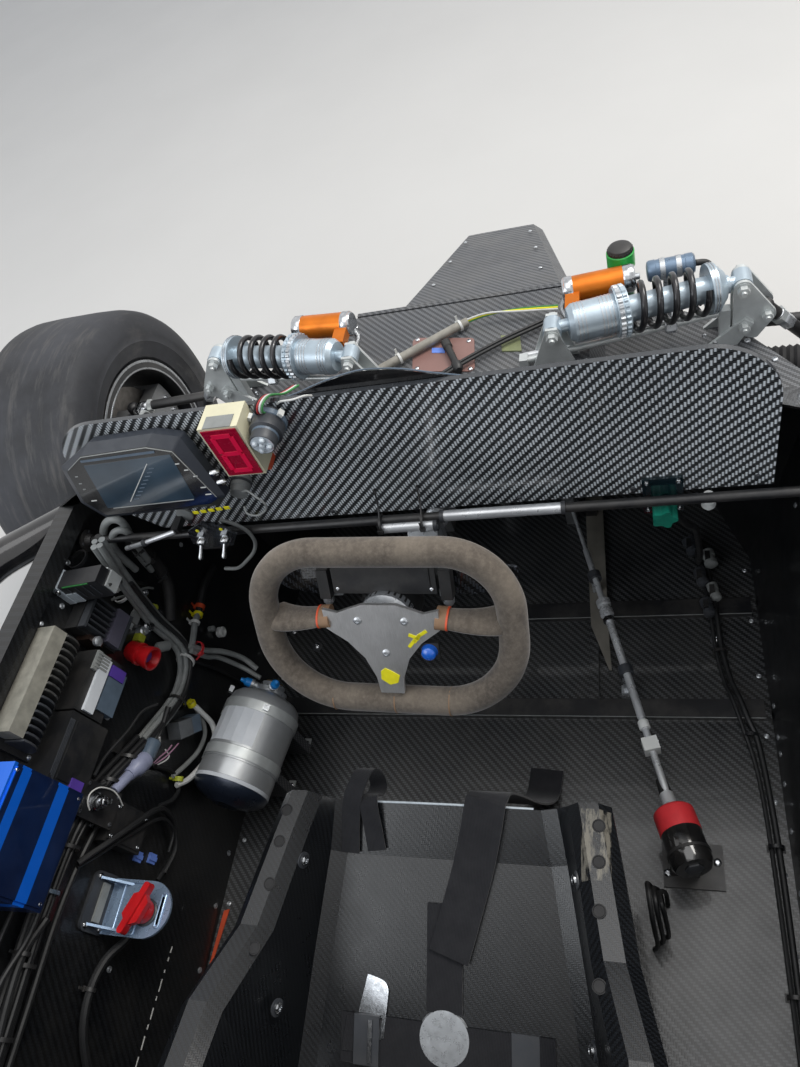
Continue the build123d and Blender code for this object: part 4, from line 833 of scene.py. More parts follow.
# Instruments on the dash
def display():
    """Display with its bevelled case, blank glass and fine marks."""
    tilt, roll = radians(18), radians(-1.5)
    z = Vector((-cos(tilt), 0, sin(tilt)))
    x = Vector((0, -1, 0))
    y = z.cross(x)
    x, y = x * cos(roll) - y * sin(roll), x * sin(roll) + y * cos(roll)
    face = plane((895, 312, 645), x, y)
    case = [(-77, -3), (87, -3), (102, 8), (77, 93), (44, 102), (-45, 102), (-102, 75), (-101, 22)]
    front = [(-70, 3), (80, 3), (95, 10), (64, 79), (32, 89), (-62, 88), (-92, 70), (-92, 26)]
    outer, inner = (rounded([(a, b, 5) for a, b in outline], 4) for outline in (case, front))
    p = Piece()
    p.prism(outer, -19, -5, "display_case", face, 0.8)
    # bevelled shoulder between the case and the glass
    n = len(outer)
    corners = [(a, b, -5) for a, b in outer] + [(a, b, 0) for a, b in inner]
    p.faces(corners, [(i, (i + 1) % n, n + (i + 1) % n, n + i) for i in range(n)], "display_case", face)
    p.prism(inner, -3, 0, "black_gloss", face)
    p.prism([(-62, 13), (64, 13), (58, 75), (-64, 75)], 0, 0.5, "screen", face)
    trim = [(-88, 72), (-62, 86.6), (31, 87.6), (62.6, 78), (93, 12)]
    for start, end in list(zip(trim, trim[1:])) + [((-54, 12), (62, 12))]:
        p.tube([at(face, *start, 0.4), at(face, *end, 0.4)], 0.7, "cable_grey", 6)
    p.box((-65, 79.5, 0.1), (40, 82.5, 0.7), "slate_plastic", face, 0.1)
    for i in range(9):
        a, b = -18 + i * 5, 21 + i * 4.8
        p.box((a, b, 0.5), (a + 7, b + 1.2, 0.8), "slate_plastic", face, 0.05)
    p.tube([at(face, a, b, 0.6) for a, b in ((-25, 19), (0, 44), (23, 67))], 0.6, "cable_white", 6)
    marks = [(59 + i * 8, 61 - i * 9.5, 5.5, "cable_white") for i in range(3)]
    marks += [(78, 26, 7, "cable_white"), (80, 16, 8, "cable_white"), (-80, 25, 8, "cable_white"),
              (-84, 61, 4, "cable_grey"), (-84, 51, 4, "cable_grey"), (-83, 42.5, 4, "cable_grey")]
    for a, b, length, name in marks:
        p.box((a, b, 0), (a + length, b + 1.4, 0.5), name, face, 0.05)
    for b, a in ((39, 98), (25.5, 102)):
        p.lathe([(0, 4.4), (6, 4.4), (9, 3.4), (11, 1)], at(face, a - 5, b, -10), at(face, a + 9, b, -10),
                "steel", 16)
    p.box((-30, 60, -30), (30, 96, -19), "black_plastic", face, 2)
    p.box((918, 272, 672), (DASH - 0.5, 352, 706), "black_plastic", None, 2)
    p.done("display_detailed", "chassis", ["dash_display"])


def gear_indicator():
    """Cream box whose red face shows a digit of seven bars."""
    p = Piece()
    p.box((912, 148, 678), (DASH - 0.3, 197, 757), "cream", None, 2.0)
    p.box((910.4, 151, 681), (912.4, 194, 754), "red_face", None, 0.5)
    near, far, heights = 161, 184, (689, 717, 745)
    # The bars carry a faint painted glow; they are unlit.
    for z in heights:
        p.box((909.6, near, z - 3), (910.6, far, z + 3), "red_digit_painted_glow", None, 0.4)
    for low, high in zip(heights, heights[1:]):
        for y in (near, far):
            p.box((909.6, y - 3, low + 2), (910.6, y + 3, high - 2), "red_digit_painted_glow", None, 0.4)
    p.box((930, 152, 664), (DASH - 0.4, 192, 678), "orange_trim", None, 1)
    p.box((912, 156, 757), (930, 190, 757.9), "cable_grey", None, 0.3)
    p.done("gear_indicator_detailed", "chassis", ["gear_indicator"])


def dash_switches():
    """Round lamp, switch plate with two toggles, and the lobed knob on its smoked plate."""
    p = Piece()
    y, z = 127, 731
    p.lathe([(0, 14), (3, 15), (14, 15), (16, 19), (30, 19), (34, 16), (44, 16)], (905, y, z), (DASH, y, z),
            "dark_grey", 32)
    p.lathe([(0, 13), (0.8, 13)], (904.6, y, z), (906, y, z), "clear", 28)
    beads = [(0, 0)] + [(8 * cos(tau * i / 4 + 0.4), 8 * sin(tau * i / 4 + 0.4)) for i in range(4)]
    for a, b in beads:
        p.lathe([(0, 3.4), (2, 3.4), (4, 2.2), (4.6, 0.6)], (905, y + a, z + b), (899, y + a, z + b),
                "clear", 14)
    panel = [(232, 580), (248, 602), (269, 608), (298, 591), (304, 566), (284, 555), (249, 556)]
    sheet = plane((903, 0, 0), (0, 1, 0), (0, 0, 1))
    p.prism(panel, 0, 3, "carbon_gloss", sheet, 0.5)
    p.box((906, 262, 548), (923, 298, 560), "black_satin", None, 1)
    for a in (249, 283):
        p.hexagon((903, a, 577), (-1, 0, 0), 8.5, 4)
        p.lathe([(0, 6), (6, 6), (8, 4.5)], (899, a, 577), (889, a, 577), "steel", 20)
        p.lathe([(0, 2.0), (10, 2.5), (17, 3.6), (19.5, 3.0), (20.5, 1)], (893, a, 576), (880, a + 4, 562),
                "steel", 18)
        p.lathe([(0, 2.6), (0.8, 2.2)], (903, a, 592), (902, a, 592), "yellow", 14)
    k, knob_z = -282, 527
    knob = plane((946, k, knob_z), (0, -1, 0), (0, 0, 1))
    lobes = [(12.6 + 2.2 * cos(5 * tau * i / 60), tau * i / 60) for i in range(60)]
    p.prism([(r * cos(a), r * sin(a)) for r, a in lobes], 4, 24, "teal", knob, 1.2)
    p.lathe([(0, 6), (5, 6)], (DASH, k, knob_z), (940, k, knob_z), "black_satin", 16)
    p.box((946, k - 22, 512), (DASH - 0.3, k + 22, 572), "smoke")
    for a in (k - 17, k + 17):
        for b in (518, 566):
            p.bolt((946, a, b), -AHEAD, 3)
    p.lathe([(0, 12), (3, 12), (4, 10)], (DASH, 328, 572), (945, 328, 572), "cable_grey", 24)
    p.done("dash_switches_detailed", "chassis", ["dash_switches"])


display()
gear_indicator()
dash_switches()


# Tyres
def tyre(name, x, y, radius, width, body):
    """Slick with a bulged sidewall, round shoulders and moulded rings."""
    half, bead, lip = width / 2, width / 2 - 22.5, 177
    quarter = [(bead, 165.5), (bead + 0.5, 172), (bead + 3, lip + 2), (bead + 10, lip + 6),
               (half - 8, lip + 18), (half - 3, lip + 34), (half - 2.2, lip + 36), (half - 3.2, lip + 38),
               (half - 1, lip + 50), (half - 1.2, radius - 44), (half - 4, radius - 32),
               (half - 9, radius - 20), (half - 16, radius - 11), (half - 26, radius - 5),
               (half - 42, radius - 1.6), (half * 0.35, radius - 0.2)]
    section = quarter + [(-a, r) for a, r in reversed(quarter)]
    p = Piece()
    p.ring(section, None, None, "tyre", 96, plane((x, y, radius), (0, 0, 1), (1, 0, 0)))
    p.done(name + "_moulded", body, [name])


# columns: name, place along and across the car, radius, width
TYRES = [
    ("tyre_front_left", 1380, 800, 280, 240), ("tyre_front_right", 1380, -800, 280, 240),
    ("tyre_rear_left", -1120, 780, 290, 280), ("tyre_rear_right", -1120, -780, 290, 280),
]


def body_of(node):
    """Name of the body that a node rides on."""
    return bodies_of(NODES[node])[0]


for name, x, y, radius, width in TYRES:
    tyre(name, x, y, radius, width, body_of(name))


# Left wall of the cockpit
def tie(p, spot, axis, radius, name="black_satin", width=4.6):
    """Cable tie round a bundle, with its lock and cut tail."""
    start = Vector(spot)
    place = aimed(start, start + Vector(axis))
    half = width / 2
    p.ring([(-half, radius), (half, radius), (half, radius + 1.5), (-half, radius + 1.5)], None, None, name,
           20, place)
    p.box((radius, -3, -3.2), (radius + 4, 3, 3.2), name, place, 0.7)
    p.box((radius + 2, 3, -1.6), (radius + 3, 13, 1.6), name, place, 0.3)


def rivet(p, spot, axis, radius=4.4, name="alloy"):
    """Blind rivet: domed ring with its pulled stem."""
    a, b = Vector(spot), Vector(spot) + Vector(axis)
    p.lathe([(0, radius), (0.7, radius), (1.6, radius * 0.62), (1.0, radius * 0.36), (1.3, radius * 0.1)],
            a, b, name, 16)


# Blocks on the left wall: low and high corner (along the car, up the wall, inwards), material, bevel
WALL_BLOCKS = [
    # heat sink
    ((640, 490, 0), (782, 512, 36), "dusty_plate", 1.6),
    ((628, 444, 0), (794, 516, 5), "black_plastic", 1.2),
    # box with a violet grey face, and the part beside it
    ((804, 395, 0), (862, 472, 22), "black_plastic", 1.8),
    ((806, 397, 22), (860, 401, 34), "dark_grey", 0.6),
    ((806, 466, 22), (860, 470, 34), "dark_grey", 0.6),
    ((807, 402, 22), (859, 424, 33), "violet_grey", 1.2),
    ((797, 424, 2), (804, 450, 28), "bronze_part", 1.6),
    # tall unit with its clear foot
    ((840, 480, 6), (866, 516, 81), "black_satin", 2.0),
    ((838, 478, 0), (868, 518, 12), "clear", 1.5),
    ((838.6, 479, 12), (840.2, 499, 30), "clear", 0.4),
    ((843, 480.5, 79), (867.5, 500, 84), "zinc", 0.8),
    ((866, 484, 40), (868.4, 506, 82), "zinc", 0.6),
    ((839.2, 513, 20), (840.4, 515, 66), "cable_green", 0.2),
    # control box with its blank label and plug
    ((703, 386, 0), (788, 436, 35), "black_plastic", 2.4),
    ((760, 428, 30), (787, 435.5, 39), "cable_grey", 1.2),
    ((706, 408, 35), (782, 425, 39.4), "label", 0.6),
    ((716, 374, 8), (776, 404, 38), "slate_plastic", 2.2),
    ((764, 379, 34), (780, 405, 40), "purple", 1.2),
    # second control box
    ((606, 372, 0), (700, 436, 36), "black_plastic", 3.0),
    ((616, 394, 36), (690, 424, 37.4), "black_satin", 0.8),
    ((607, 382, 12), (624, 402, 40), "purple", 1.4),
    # striped cover
    ((466, 410, 0), (600, 518, 78), "stripes", 3.4),
    ((470, 414, 78), (596, 514, 80), "stripes", 0.8),
    # lower box, and the plate on its posts
    ((576, 236, 0), (630, 306, 24), "black_plastic", 2.2),
    ((580, 240, 24), (626, 302, 26), "black_satin", 0.6),
    ((588, 306, 26), (636, 372, 31), "black_satin", 0.9),
]


def wall_units():
    """Heat sink, relays, control boxes and the striped cover on the left wall, with their fins and screws."""
    p = Piece()
    for low, high, name, bevel in WALL_BLOCKS:
        p.box(low, high, name, LEFT_WALL, bevel)
    fin = [(490, 5), (490, 40), (481, 41), (471, 38), (462, 32), (456, 24), (452.5, 14), (451.5, 5)]
    # The first nine fins are painted lit and the last seven are dark grey as painted shade; they are all the
    # same fins.
    for i in range(16):
        x = 780 - i * 9.4
        p.prism(fin, x, x - 2.6, "fin_painted_lit" if i < 9 else "dark_grey", LEFT_WALL @ ALONG_X, 0.5)
    for x in (633, 789):
        for h in (449, 510):
            p.bolt(wall(x, h, 5), INWARD, 3.2, "alloy")
    for i in range(6):
        x = 810 + i * 8.4
        p.box((x, 428, 22), (x + 2.6, 464, 33), "dark_grey", LEFT_WALL, 0.5)
    p.lathe([(0, 7), (5, 7), (7, 4)], wall(800, 437, 28), wall(800, 437, 36), "alloy", 16)
    p.bolt(wall(838, 508, 8), -AHEAD, 4.2)
    for depth in (24, 38, 52, 66):
        p.box((839.2, 486, depth), (840.2, 509, depth + 1.6), "dark_grey", LEFT_WALL, 0.2)
    for i in range(5):
        p.box((764 + i * 4.6, 412, 35), (767 + i * 4.6, 434, 40), "cable_grey", LEFT_WALL, 0.5)
    for i in range(7):
        p.box((720 + i * 7.4, 372.6, 12), (723.4 + i * 7.4, 374.4, 34), "slate_plastic", LEFT_WALL, 0.4)
    for i in range(4):
        p.box((612 + i * 2.2, 428, 36), (690, 429, 37), "dark_grey",
              LEFT_WALL @ Matrix.Translation((0, i * 2.1, 0)), 0.1)
    for x in (474, 592):
        for h in (416, 512):
            p.bolt(wall(x, h, 78.6), INWARD, 2.6)
    for i in range(4):
        x = 486 + i * 27
        p.lathe([(0, 9), (8, 9), (9, 11), (17, 11), (19, 8), (26, 6)], wall(x, 411, 40),
                wall(x, 380, 38), "dark_grey", 18)
    for x in (584, 622):
        for h in (244, 298):
            p.bolt(wall(x, h, 25.6), INWARD, 2.8)
    for x in (594, 630):
        for h in (311, 367):
            p.rod(wall(x, h, 0), wall(x, h, 26.4), 4, "alloy", 12)
            p.bolt(wall(x, h, 31), INWARD, 3, "dark_grey")
    stud = wall(612, 348, 31), wall(612, 348, 60)
    p.lathe([(0, 12), (3, 12), (4, 9.5), (12, 9.5), (13, 6), (20, 6), (21, 4.6), (27, 4.4), (28, 2)], *stud,
            "steel", 24)
    for x, h in ((580, 213), (585, 185)):
        p.box((x - 7, h - 7, 0), (x + 7, h + 7, 3.4), "pale_blue", LEFT_WALL)
        p.box((x - 3, h - 7, 3.4), (x + 3, h + 7, 5.4), "pale_blue", LEFT_WALL, 0.5)
    p.done("wall_units_detailed", "chassis", ["control_boxes"])


wall_units()


def isolator():
    """Battery switch: ridged shelf on a wall flange, with its red key, boss and studs."""
    p = Piece()
    x_low, x_high, top, tip, back = 472, 547, 300, 357, 456
    middle = (x_low + x_high) / 2
    shelf = [(x_low + 3, back)] + [(middle - 35 * cos(a), tip + 35 - 35 * sin(a)) for a in
                                   [pi * k / 20 for k in range(21)]] + [(x_high - 3, back)]
    p.prism(shelf, top - 4, top, "blue_plate", None, 0.9)
    for low, high, start, end in ((402, 434, 478, 541), (368, 374, 489, 530)):
        ridge = rounded_box((start, low), (end, high), 2.6, 3)
        inner = rounded_box((start + 4, low + 2.4), (end - 4, high - 2.4), 2, 3)
        p.tube([(x, y, top + 0.4) for x, y in ridge], 1.5, "blue_plate", 8, closed=True, cut=1)
        p.prism(inner, top, top + 0.9, "blue_plate", None, 0.3)
    flange = LEFT_WALL @ Matrix.Translation((middle, 257, 2.4))
    p.prism(rounded_box((-37, -22), (37, 22), 9, 5), -2.4, 2.4, "dark_grey", flange, 0.7)
    p.box((-24, -6, 2.4), (24, 6, 5.4), "cable_grey", flange, 1.4)
    for x in (-30, 30):
        for y in (14, -13):
            p.bolt(at(flange, x, y, 2.4), INWARD, 4)
    for x in (x_low + 9, x_high - 9):
        gusset = [(back - 2, top), (back - 34, top), (back - 2, top + 30)]
        p.prism(gusset, x - 1.5, x + 1.5, "blue_plate", ALONG_X)
    key_x, key_y = middle - 4, tip + 34
    p.lathe([(0, 19), (16, 19), (20, 17)], (key_x, key_y, top - 4), (key_x, key_y, top - 24),
            "black_plastic", 28)
    for side in (-1, 1):
        p.lathe([(0, 5), (9, 5), (10, 3.4), (17, 3.4)], (key_x + side * 11, key_y, top - 24),
                (key_x + side * 11, key_y, top - 60), "brass", 12)
    p.lathe([(0, 17), (3, 17), (4, 15.5), (6, 15.5)], (key_x, key_y, top), (key_x, key_y, top + 6),
            "dark_grey")
    boss = [(0, 14.6), (3, 15), (12, 14), (19, 12.4), (22, 10), (23, 4)]
    p.lathe(boss, (key_x, key_y, top + 4), (key_x, key_y, top + 26), "red", 26)
    turn = Matrix.Translation((key_x, key_y, top + 25.5)) @ Matrix.Rotation(radians(-20), 4, "Z")
    p.prism(rounded_box((-33, -4.4), (33, 4.4), 4, 4), -6, 7, "red", turn, 1.4)
    for side in (-1, 1):
        web = [(x, side * y) for x, y in ((-20, 4), (20, 4), (13, 13), (-13, 13))]
        p.prism(web, -6, 3, "red", turn, 1.0)
    p.done("isolator_detailed", "chassis", ["isolator_switch"])


isolator()


def bottle():
    """Extinguisher bottle with its clamp bands, valve and two blue plugs."""
    p = Piece()
    start, end = Vector((885, 346.2, 195)), Vector((680, 380.2, 195))
    length = (end - start).length
    body = [(30, 40), (34, 50), (40, 56), (50, 59), (58, 60), (62, 60), (62.5, 58.6), (66, 58.6),
            (66.5, 60), (130, 60), (130.5, 58.4), (134, 58.4), (134.5, 60), (150, 60), (150.5, 58.8),
            (153, 58.8), (153.5, 60), (176, 60)]
    p.lathe(body, start, end, "silver_paint", 72)
    # the domed rear end is dark: painted shade on the silver bottle
    p.lathe([(176, 59.6), (184, 59.4), (190, 57), (196, 50), (202, 38), (206, 22), (length, 20)], start,
            end, "bottle_end_painted_shade", 72)
    p.lathe([(176.4, 60.2), (182, 60.2), (182.4, 59.6)], start, end, "label", 72)
    p.lathe([(6, 20), (14, 20), (16, 27), (24, 27), (30, 40)], start, end, "alloy", 36)
    p.lathe([(0, 12), (2, 16), (8, 16), (9, 12)], start, end, "brass", 6)
    axis = (end - start).normalized()
    side = axis.cross(UP).normalized()
    for share, turn in ((0.18, 0.95), (0.30, -0.6)):
        spot = start + axis * (length * share)
        out = (UP * cos(turn) + side * sin(turn)).normalized()
        neck = start + axis * 16
        p.lathe([(0, 6), (8, 6), (9, 8), (14, 8), (15, 5)], neck + out * 22, neck + out * 60, "alloy", 14)
        p.lathe([(0, 7.4), (9, 7), (12, 4), (18, 3)], neck + out * 36, neck + out * 60, "plug_blue", 14)
        p.box((-5, -5, -1), (5, 5, 6), "alloy", aimed(spot + out * 59, spot + out * 70), 1)
    for x in (748, 823):
        along = (885 - x) / 205 * length
        p.band(start, end, along - 8, along + 8, 60.3, 61.6, "zinc", 72)
        spot = start + axis * along
        p.box((-8, -34, -134.6), (8, 34, -44), "carbon_matte", Matrix.Translation(spot), 1.2)
        lock = aimed(spot + side * 61.5, spot + side * 80)
        p.box((-9, -8, 0), (9, 8, 8), "zinc", lock, 1.4)
        p.rod(at(lock, -17, 0, 5), at(lock, 17, 0, 5), 2.6, "steel", 10)
        for y in (-26, 26):
            p.bolt(spot + Vector((12, y, -134)), (0, 0, 1), 4)
            p.box((4, y - 6, -135), (20, y + 6, -133), "zinc", Matrix.Translation(spot), 0.4)
    for k in range(5):
        turn = 0.5 - k * 0.28
        out = (UP * cos(turn) - side * sin(turn)).normalized()
        spot = start + axis * 98 + out * 60.05
        place = Matrix.Translation(spot) @ Matrix((axis, out.cross(axis), out)).transposed().to_4x4()
        p.box((-28, -8.6, -0.4), (28, 8.6, 0.35), "label", place, 0.15)
    p.done("fire_bottle_detailed", "chassis", ["fire_bottle"])


bottle()


def wall_y(z):
    """Inner face of the cockpit wall at a height."""
    return WALL_FOOT + 0.159 * (z - FLOOR)


CLIPS = [(893, 400), (880, 322), (815, 300), (720, 340), (610, 398), (500, 413), (347, 405), (180, 392),
         (20, 386)]
ROUTE = [Vector((893, 426, 596)), Vector((893, 444, 500))] + [Vector((x, wall_y(z) - 13.5, z)) for x,
                                                              z in CLIPS]


def strand(p, offset, radius, name, seed, first, last, sway=1.5):
    """One cable of the main loom, wandering a little round its place in the bundle."""
    run = ROUTE[first:last]
    line = []
    for i, spot in enumerate(run):
        ahead = (run[min(i + 1, len(run) - 1)] - run[max(i - 1, 0)]).normalized()
        across = ahead.cross(LEFT).normalized()
        wander = sway * sin(1.7 * i + seed), sway * cos(2.3 * i + seed * 2)
        line.append(spot + across * (offset[0] + wander[0]) - LEFT * (offset[1] + wander[1] * 0.4))
    p.tube(line, radius, name, 9, cut=5)


# Branches of the loom: material, radius, places on the wall as (along the car, up the wall, inwards)
BRANCHES = [
    ("cable_grey", 5.0, [(958, 256, 12), (934, 262, 16), (905, 262, 22), (880, 262, 27)]),
    ("cable_black", 6.0, [(1046, 252, 8), (1004, 262, 10), (975, 260, 11), (952, 257, 12)]),
    ("cable_grey", 4.6, [(884, 268, 27), (892, 236, 30), (908, 200, 34), (916, 160, 44), (905, 138, 62)]),
    ("cable_grey", 4.0, [(878, 262, 27), (886, 226, 27), (900, 196, 26), (904, 150, 40), (893, 128, 66)]),
    ("cable_black", 3.2, [(868, 258, 24), (878, 220, 16), (890, 180, 10), (900, 120, 8), (902, 60, 8),
                          (898, 6, 9)]),
    ("cable_white", 4.4, [(812, 210, 14), (806, 184, 18), (799, 160, 20), (780, 146, 21), (752, 148, 20),
                          (733, 156, 18), (706, 172, 15), (690, 190, 11)]),
    ("cable_grey", 3.6, [(815, 204, 9), (803, 176, 9), (784, 160, 10), (756, 162, 9), (728, 178, 8),
                         (700, 200, 8)]),
    ("cable_black", 3.4, [(700, 240, 8), (706, 205, 8), (690, 180, 8), (668, 190, 12), (650, 214, 14),
                          (646, 190, 12), (630, 160, 9), (600, 150, 8), (560, 168, 8)]),
    ("cable_black", 4.0, [(540, 330, 20), (556, 318, 26), (582, 296, 34), (611, 268, 36), (636, 240, 32),
                          (646, 212, 24), (641, 180, 16), (625, 162, 12), (604, 152, 10), (572, 160, 9)]),
    ("cable_black", 2.6, [(536, 326, 16), (560, 300, 20), (600, 262, 30), (632, 216, 26), (628, 176, 18),
                          (600, 166, 12)]),
    ("cable_black", 5.4, [(504, 236, 40), (480, 214, 30), (448, 232, 20), (412, 238, 16), (372, 228, 14),
                          (334, 200, 12), (300, 160, 10), (262, 120, 9), (200, 90, 9), (120, 74, 9),
                          (20, 70, 9)]),
    ("cable_black", 4.6, [(470, 356, 30), (430, 366, 24), (380, 362, 22), (320, 350, 20), (240, 342, 18),
                          (150, 338, 18), (20, 336, 18)]),
    ("cable_black", 3.4, [(600, 372, 34), (560, 380, 30), (510, 374, 32), (450, 372, 30), (390, 382, 22),
                          (320, 376, 20), (200, 372, 18), (30, 368, 18)]),
    ("cable_black", 3.0, [(640, 340, 30), (600, 376, 20), (540, 392, 12), (480, 392, 12), (400, 396, 12),
                          (300, 388, 12), (160, 380, 12), (20, 378, 12)]),
    ("cable_black", 4.2, [(780, 270, 26), (740, 262, 18), (706, 268, 14), (672, 290, 12), (640, 308, 12),
                          (600, 312, 12), (540, 322, 12), (470, 326, 12), (380, 322, 12), (250, 318, 12),
                          (20, 314, 12)]),
    ("cable_black", 2.2, [(770, 300, 34), (752, 316, 26), (716, 330, 26), (672, 352, 26), (640, 366, 34)]),
    ("cable_white", 1.0, [(600, 352, 32), (607, 360, 33), (618, 362, 34), (630, 350, 34), (634, 328, 34),
                          (630, 312, 33), (624, 296, 28)]),
    ("cable_white", 1.4, [(732, 270, 28), (726, 262, 24), (714, 262, 22), (702, 268, 20)]),
    ("cable_pink", 1.1, [(704, 244, 6), (716, 240, 12), (728, 232, 14), (738, 227, 14)]),
    ("cable_pink", 1.1, [(704, 240, 6), (718, 232, 14), (732, 224, 16), (745, 216, 15)]),
    ("cable_white", 1.1, [(704, 236, 6), (714, 228, 12), (722, 226, 14), (728, 236, 12)]),
    ("cable_black", 2.4, [(846, 496, 84), (862, 480, 74), (884, 452, 50), (908, 420, 26), (930, 380, 14)]),
    ("cable_grey", 2.0, [(880, 420, 4), (900, 400, 8), (926, 376, 10), (936, 360, 8)]),
]


def looms():
    """Main loom with its ties, branches, connectors, grommets and relay, and the lines over the footbox."""
    p = Piece()
    # columns: place in the bundle, radius, first and last route point
    grey = [((-8, -6), 4.6, 0, 6), ((0, -8), 4.2, 0, 6), ((8, -6), 4.6, 0, 6), ((-6, 2), 4.4, 0, 6),
            ((5, 2), 4.8, 0, 6), ((-1, 8), 3.4, 1, 6)]
    for k, (offset, radius, first, last) in enumerate(grey):
        strand(p, offset, radius, "cable_grey" if k in (0, 1, 3, 4) else "cable_black", k, first, last)
    black = [((-9, -7), 4.4), ((-1, -8.5), 4.0), ((8, -6.5), 4.4), ((-7, 1.5), 4.2), ((1.5, 0), 4.8),
             ((9, 2.5), 3.2), ((-2, 8), 3.6), ((5, 7.5), 2.4)]
    for k, (offset, radius) in enumerate(black):
        strand(p, offset, radius, "cable_black", k + 4, 5, None, 1.8)
    # columns: along the car, height, material
    ties = [(893, 560, "black_satin"), (893, 470, "cable_white"), (866, 312, "cable_white"),
            (800, 303, "black_satin"), (690, 358, "black_satin"), (650, 377, "black_satin"),
            (555, 406, "black_satin"), (500, 413, "slate_plastic"), (420, 409, "black_satin"),
            (347, 405, "black_satin"), (262, 399, "black_satin"), (180, 392, "black_satin"),
            (100, 389, "black_satin")]
    for x, z, name in ties:
        axis = (0, 0.15, 1) if x == 893 else (1, 0, -0.35 if x > 790 else 0.05)
        tie(p, (x, wall_y(z) - (13 if x == 893 else 13.5), z), axis, 13.6, name)
    for name, radius, places in BRANCHES:
        p.tube([wall(*place) for place in places], radius, name, 9, cut=5)
    for x, h, depth, axis, radius, name in (
            (888, 250, 28, (0.3, -0.2, -1), 10, "red_tape"), (948, 257, 12, (1, 0, 0), 6.4, "yellow"),
            (962, 258, 12, (1, 0, 0), 6.6, "orange_trim"), (930, 262, 17, (1, 0, 0), 6, "cable_white"),
            (700, 190, 12, (1, 0, 0.3), 5.4, "lime_tape"), (812, 212, 13, (0.4, 0, 1), 5.4, "yellow"),
            (412, 238, 16, (1, 0, 0), 5.6, "black_satin"), (430, 366, 24, (1, 0, 0), 7, "black_satin")):
        tie(p, wall(x, h, depth), axis, radius, name,
            7.0 if name in ("yellow", "lime_tape", "orange_trim") else 4.6)
    # connectors, grommets and the relay
    parts = [
        ("slate_plastic", (724, 276, 26), (696, 280, 26), [(0, 10), (3, 11), (26, 11), (28, 9)]),
        ("lilac_plastic", (696, 280, 26), (664, 302, 26), [(0, 12), (4, 13), (24, 13), (28, 10), (38, 9)]),
        ("lilac_plastic", (666, 300, 26), (636, 318, 26), [(0, 7.5), (24, 7), (34, 6.4)]),
        ("cable_grey", (868, 300, 14), (846, 330, 14), [(0, 8), (20, 8), (24, 5)]),
    ]
    for name, a, b, profile in parts:
        p.lathe(profile, wall(*a), wall(*b), name, 20)
    p.lathe([(0, 9), (9, 9), (10, 6), (5, 6), (5, 1)], wall(953, 190, 4), wall(953, 190, 30), "cable_white",
            20)
    p.lathe([(0, 5), (9, 5), (10, 3)], wall(946, 214, 4), wall(946, 214, 24), "cable_grey", 16)
    relay = LEFT_WALL @ Matrix.Translation((774, 212, 0)) @ Matrix.Rotation(-0.9, 4, "Z")
    p.box((-26, -13, 2), (4, 13, 26), "smoke_clear", relay, 5)
    p.box((4, -13, 0), (26, 13, 24), "slate_plastic", relay, 2)
    p.box((-8, -12, 0), (26, 12, 3), "dark_grey", relay, 0.6)
    strip = LEFT_WALL @ Matrix.Translation((892, 372, 3)) @ Matrix.Rotation(-0.06, 4, "Z")
    p.box((-34, -5, 0), (34, 5, 3), "zinc", strip, 0.8)
    p.box((-24, -8, 0), (-8, 6, 7), "cable_grey", strip, 1.6)
    p.bolt(at(strip, 30, 0, 3), INWARD, 6)
    for x, h, size, name in ((908, 348, 7, "lime_tape"), (904, 336, 9, "steel"),
                             (890, 342, 8, "slate_plastic"), (878, 344, 9, "steel"), (866, 350, 7, "alloy")):
        spot = wall(x, h, 0)
        p.lathe([(0, size), (10, size), (12, size * 0.7), (16, size * 0.7), (17, size * 0.4)], spot,
                spot + Vector(INWARD), name, 14)
    p.box((848, 344, 0), (860, 356, 12), "lime_tape", LEFT_WALL, 1.2)
    p.box((862, 330, 0), (914, 352, 4), "dark_grey", LEFT_WALL)
    cup = wall(834, 352, 0), wall(815, 334, 60)
    p.lathe([(0, 15), (14, 15), (15, 17), (20, 17), (21, 14), (26, 15.5), (34, 17), (42, 17.5), (42, 14.5),
             (28, 9), (27, 1)], *cup, "red", 28)
    p.lathe([(0, 8.6), (5, 8.2), (6, 3)], cup[0] + (cup[1] - cup[0]).normalized() * 27.5, cup[1], "purple",
            18)
    for k in range(6):
        clip_x = 700 - k * 118
        z = 348 + 12 * (k % 2)
        spot = wall(clip_x, (z - 60) * 0.98 + 34, 0)
        p.box((-9, -6, 0), (9, 6, 5), "black_plastic",
              Matrix.Translation(spot) @ LEFT_WALL.to_3x3().to_4x4(), 1)
    # over the footbox, between the dampers
    p.tube([(1272, 124, 500), (1284, 104, 501), (1310, 64, 501), (1340, 18, 501), (1357, -8, 500)], 7.0,
           "sleeve_beige", 12)
    for k, name in enumerate(("cable_green", "yellow", "cable_white")):
        p.tube([(1354, -4 + k * 2, 500 + k * 2), (1362, -40, 503 + k * 2), (1364 - k * 3, -90, 505),
                (1358 - k * 4, -150, 505)], 1.5, name, 7)
    for dy in (-4, 4):
        p.tube([(1206 + dy, 60, 498), (1250 + dy, 10, 500), (1296 + dy, -60, 500), (1334 + dy, -132, 499)],
               2.6, "cable_black", 9)
    for spot in ((1290, 94, 501), (1350, 3, 500)):
        tie(p, spot, (0.5, -0.8, 0), 7.4, "cable_white", 4)
    p.done("looms_detailed", "chassis", ["wiring_looms"])


looms()


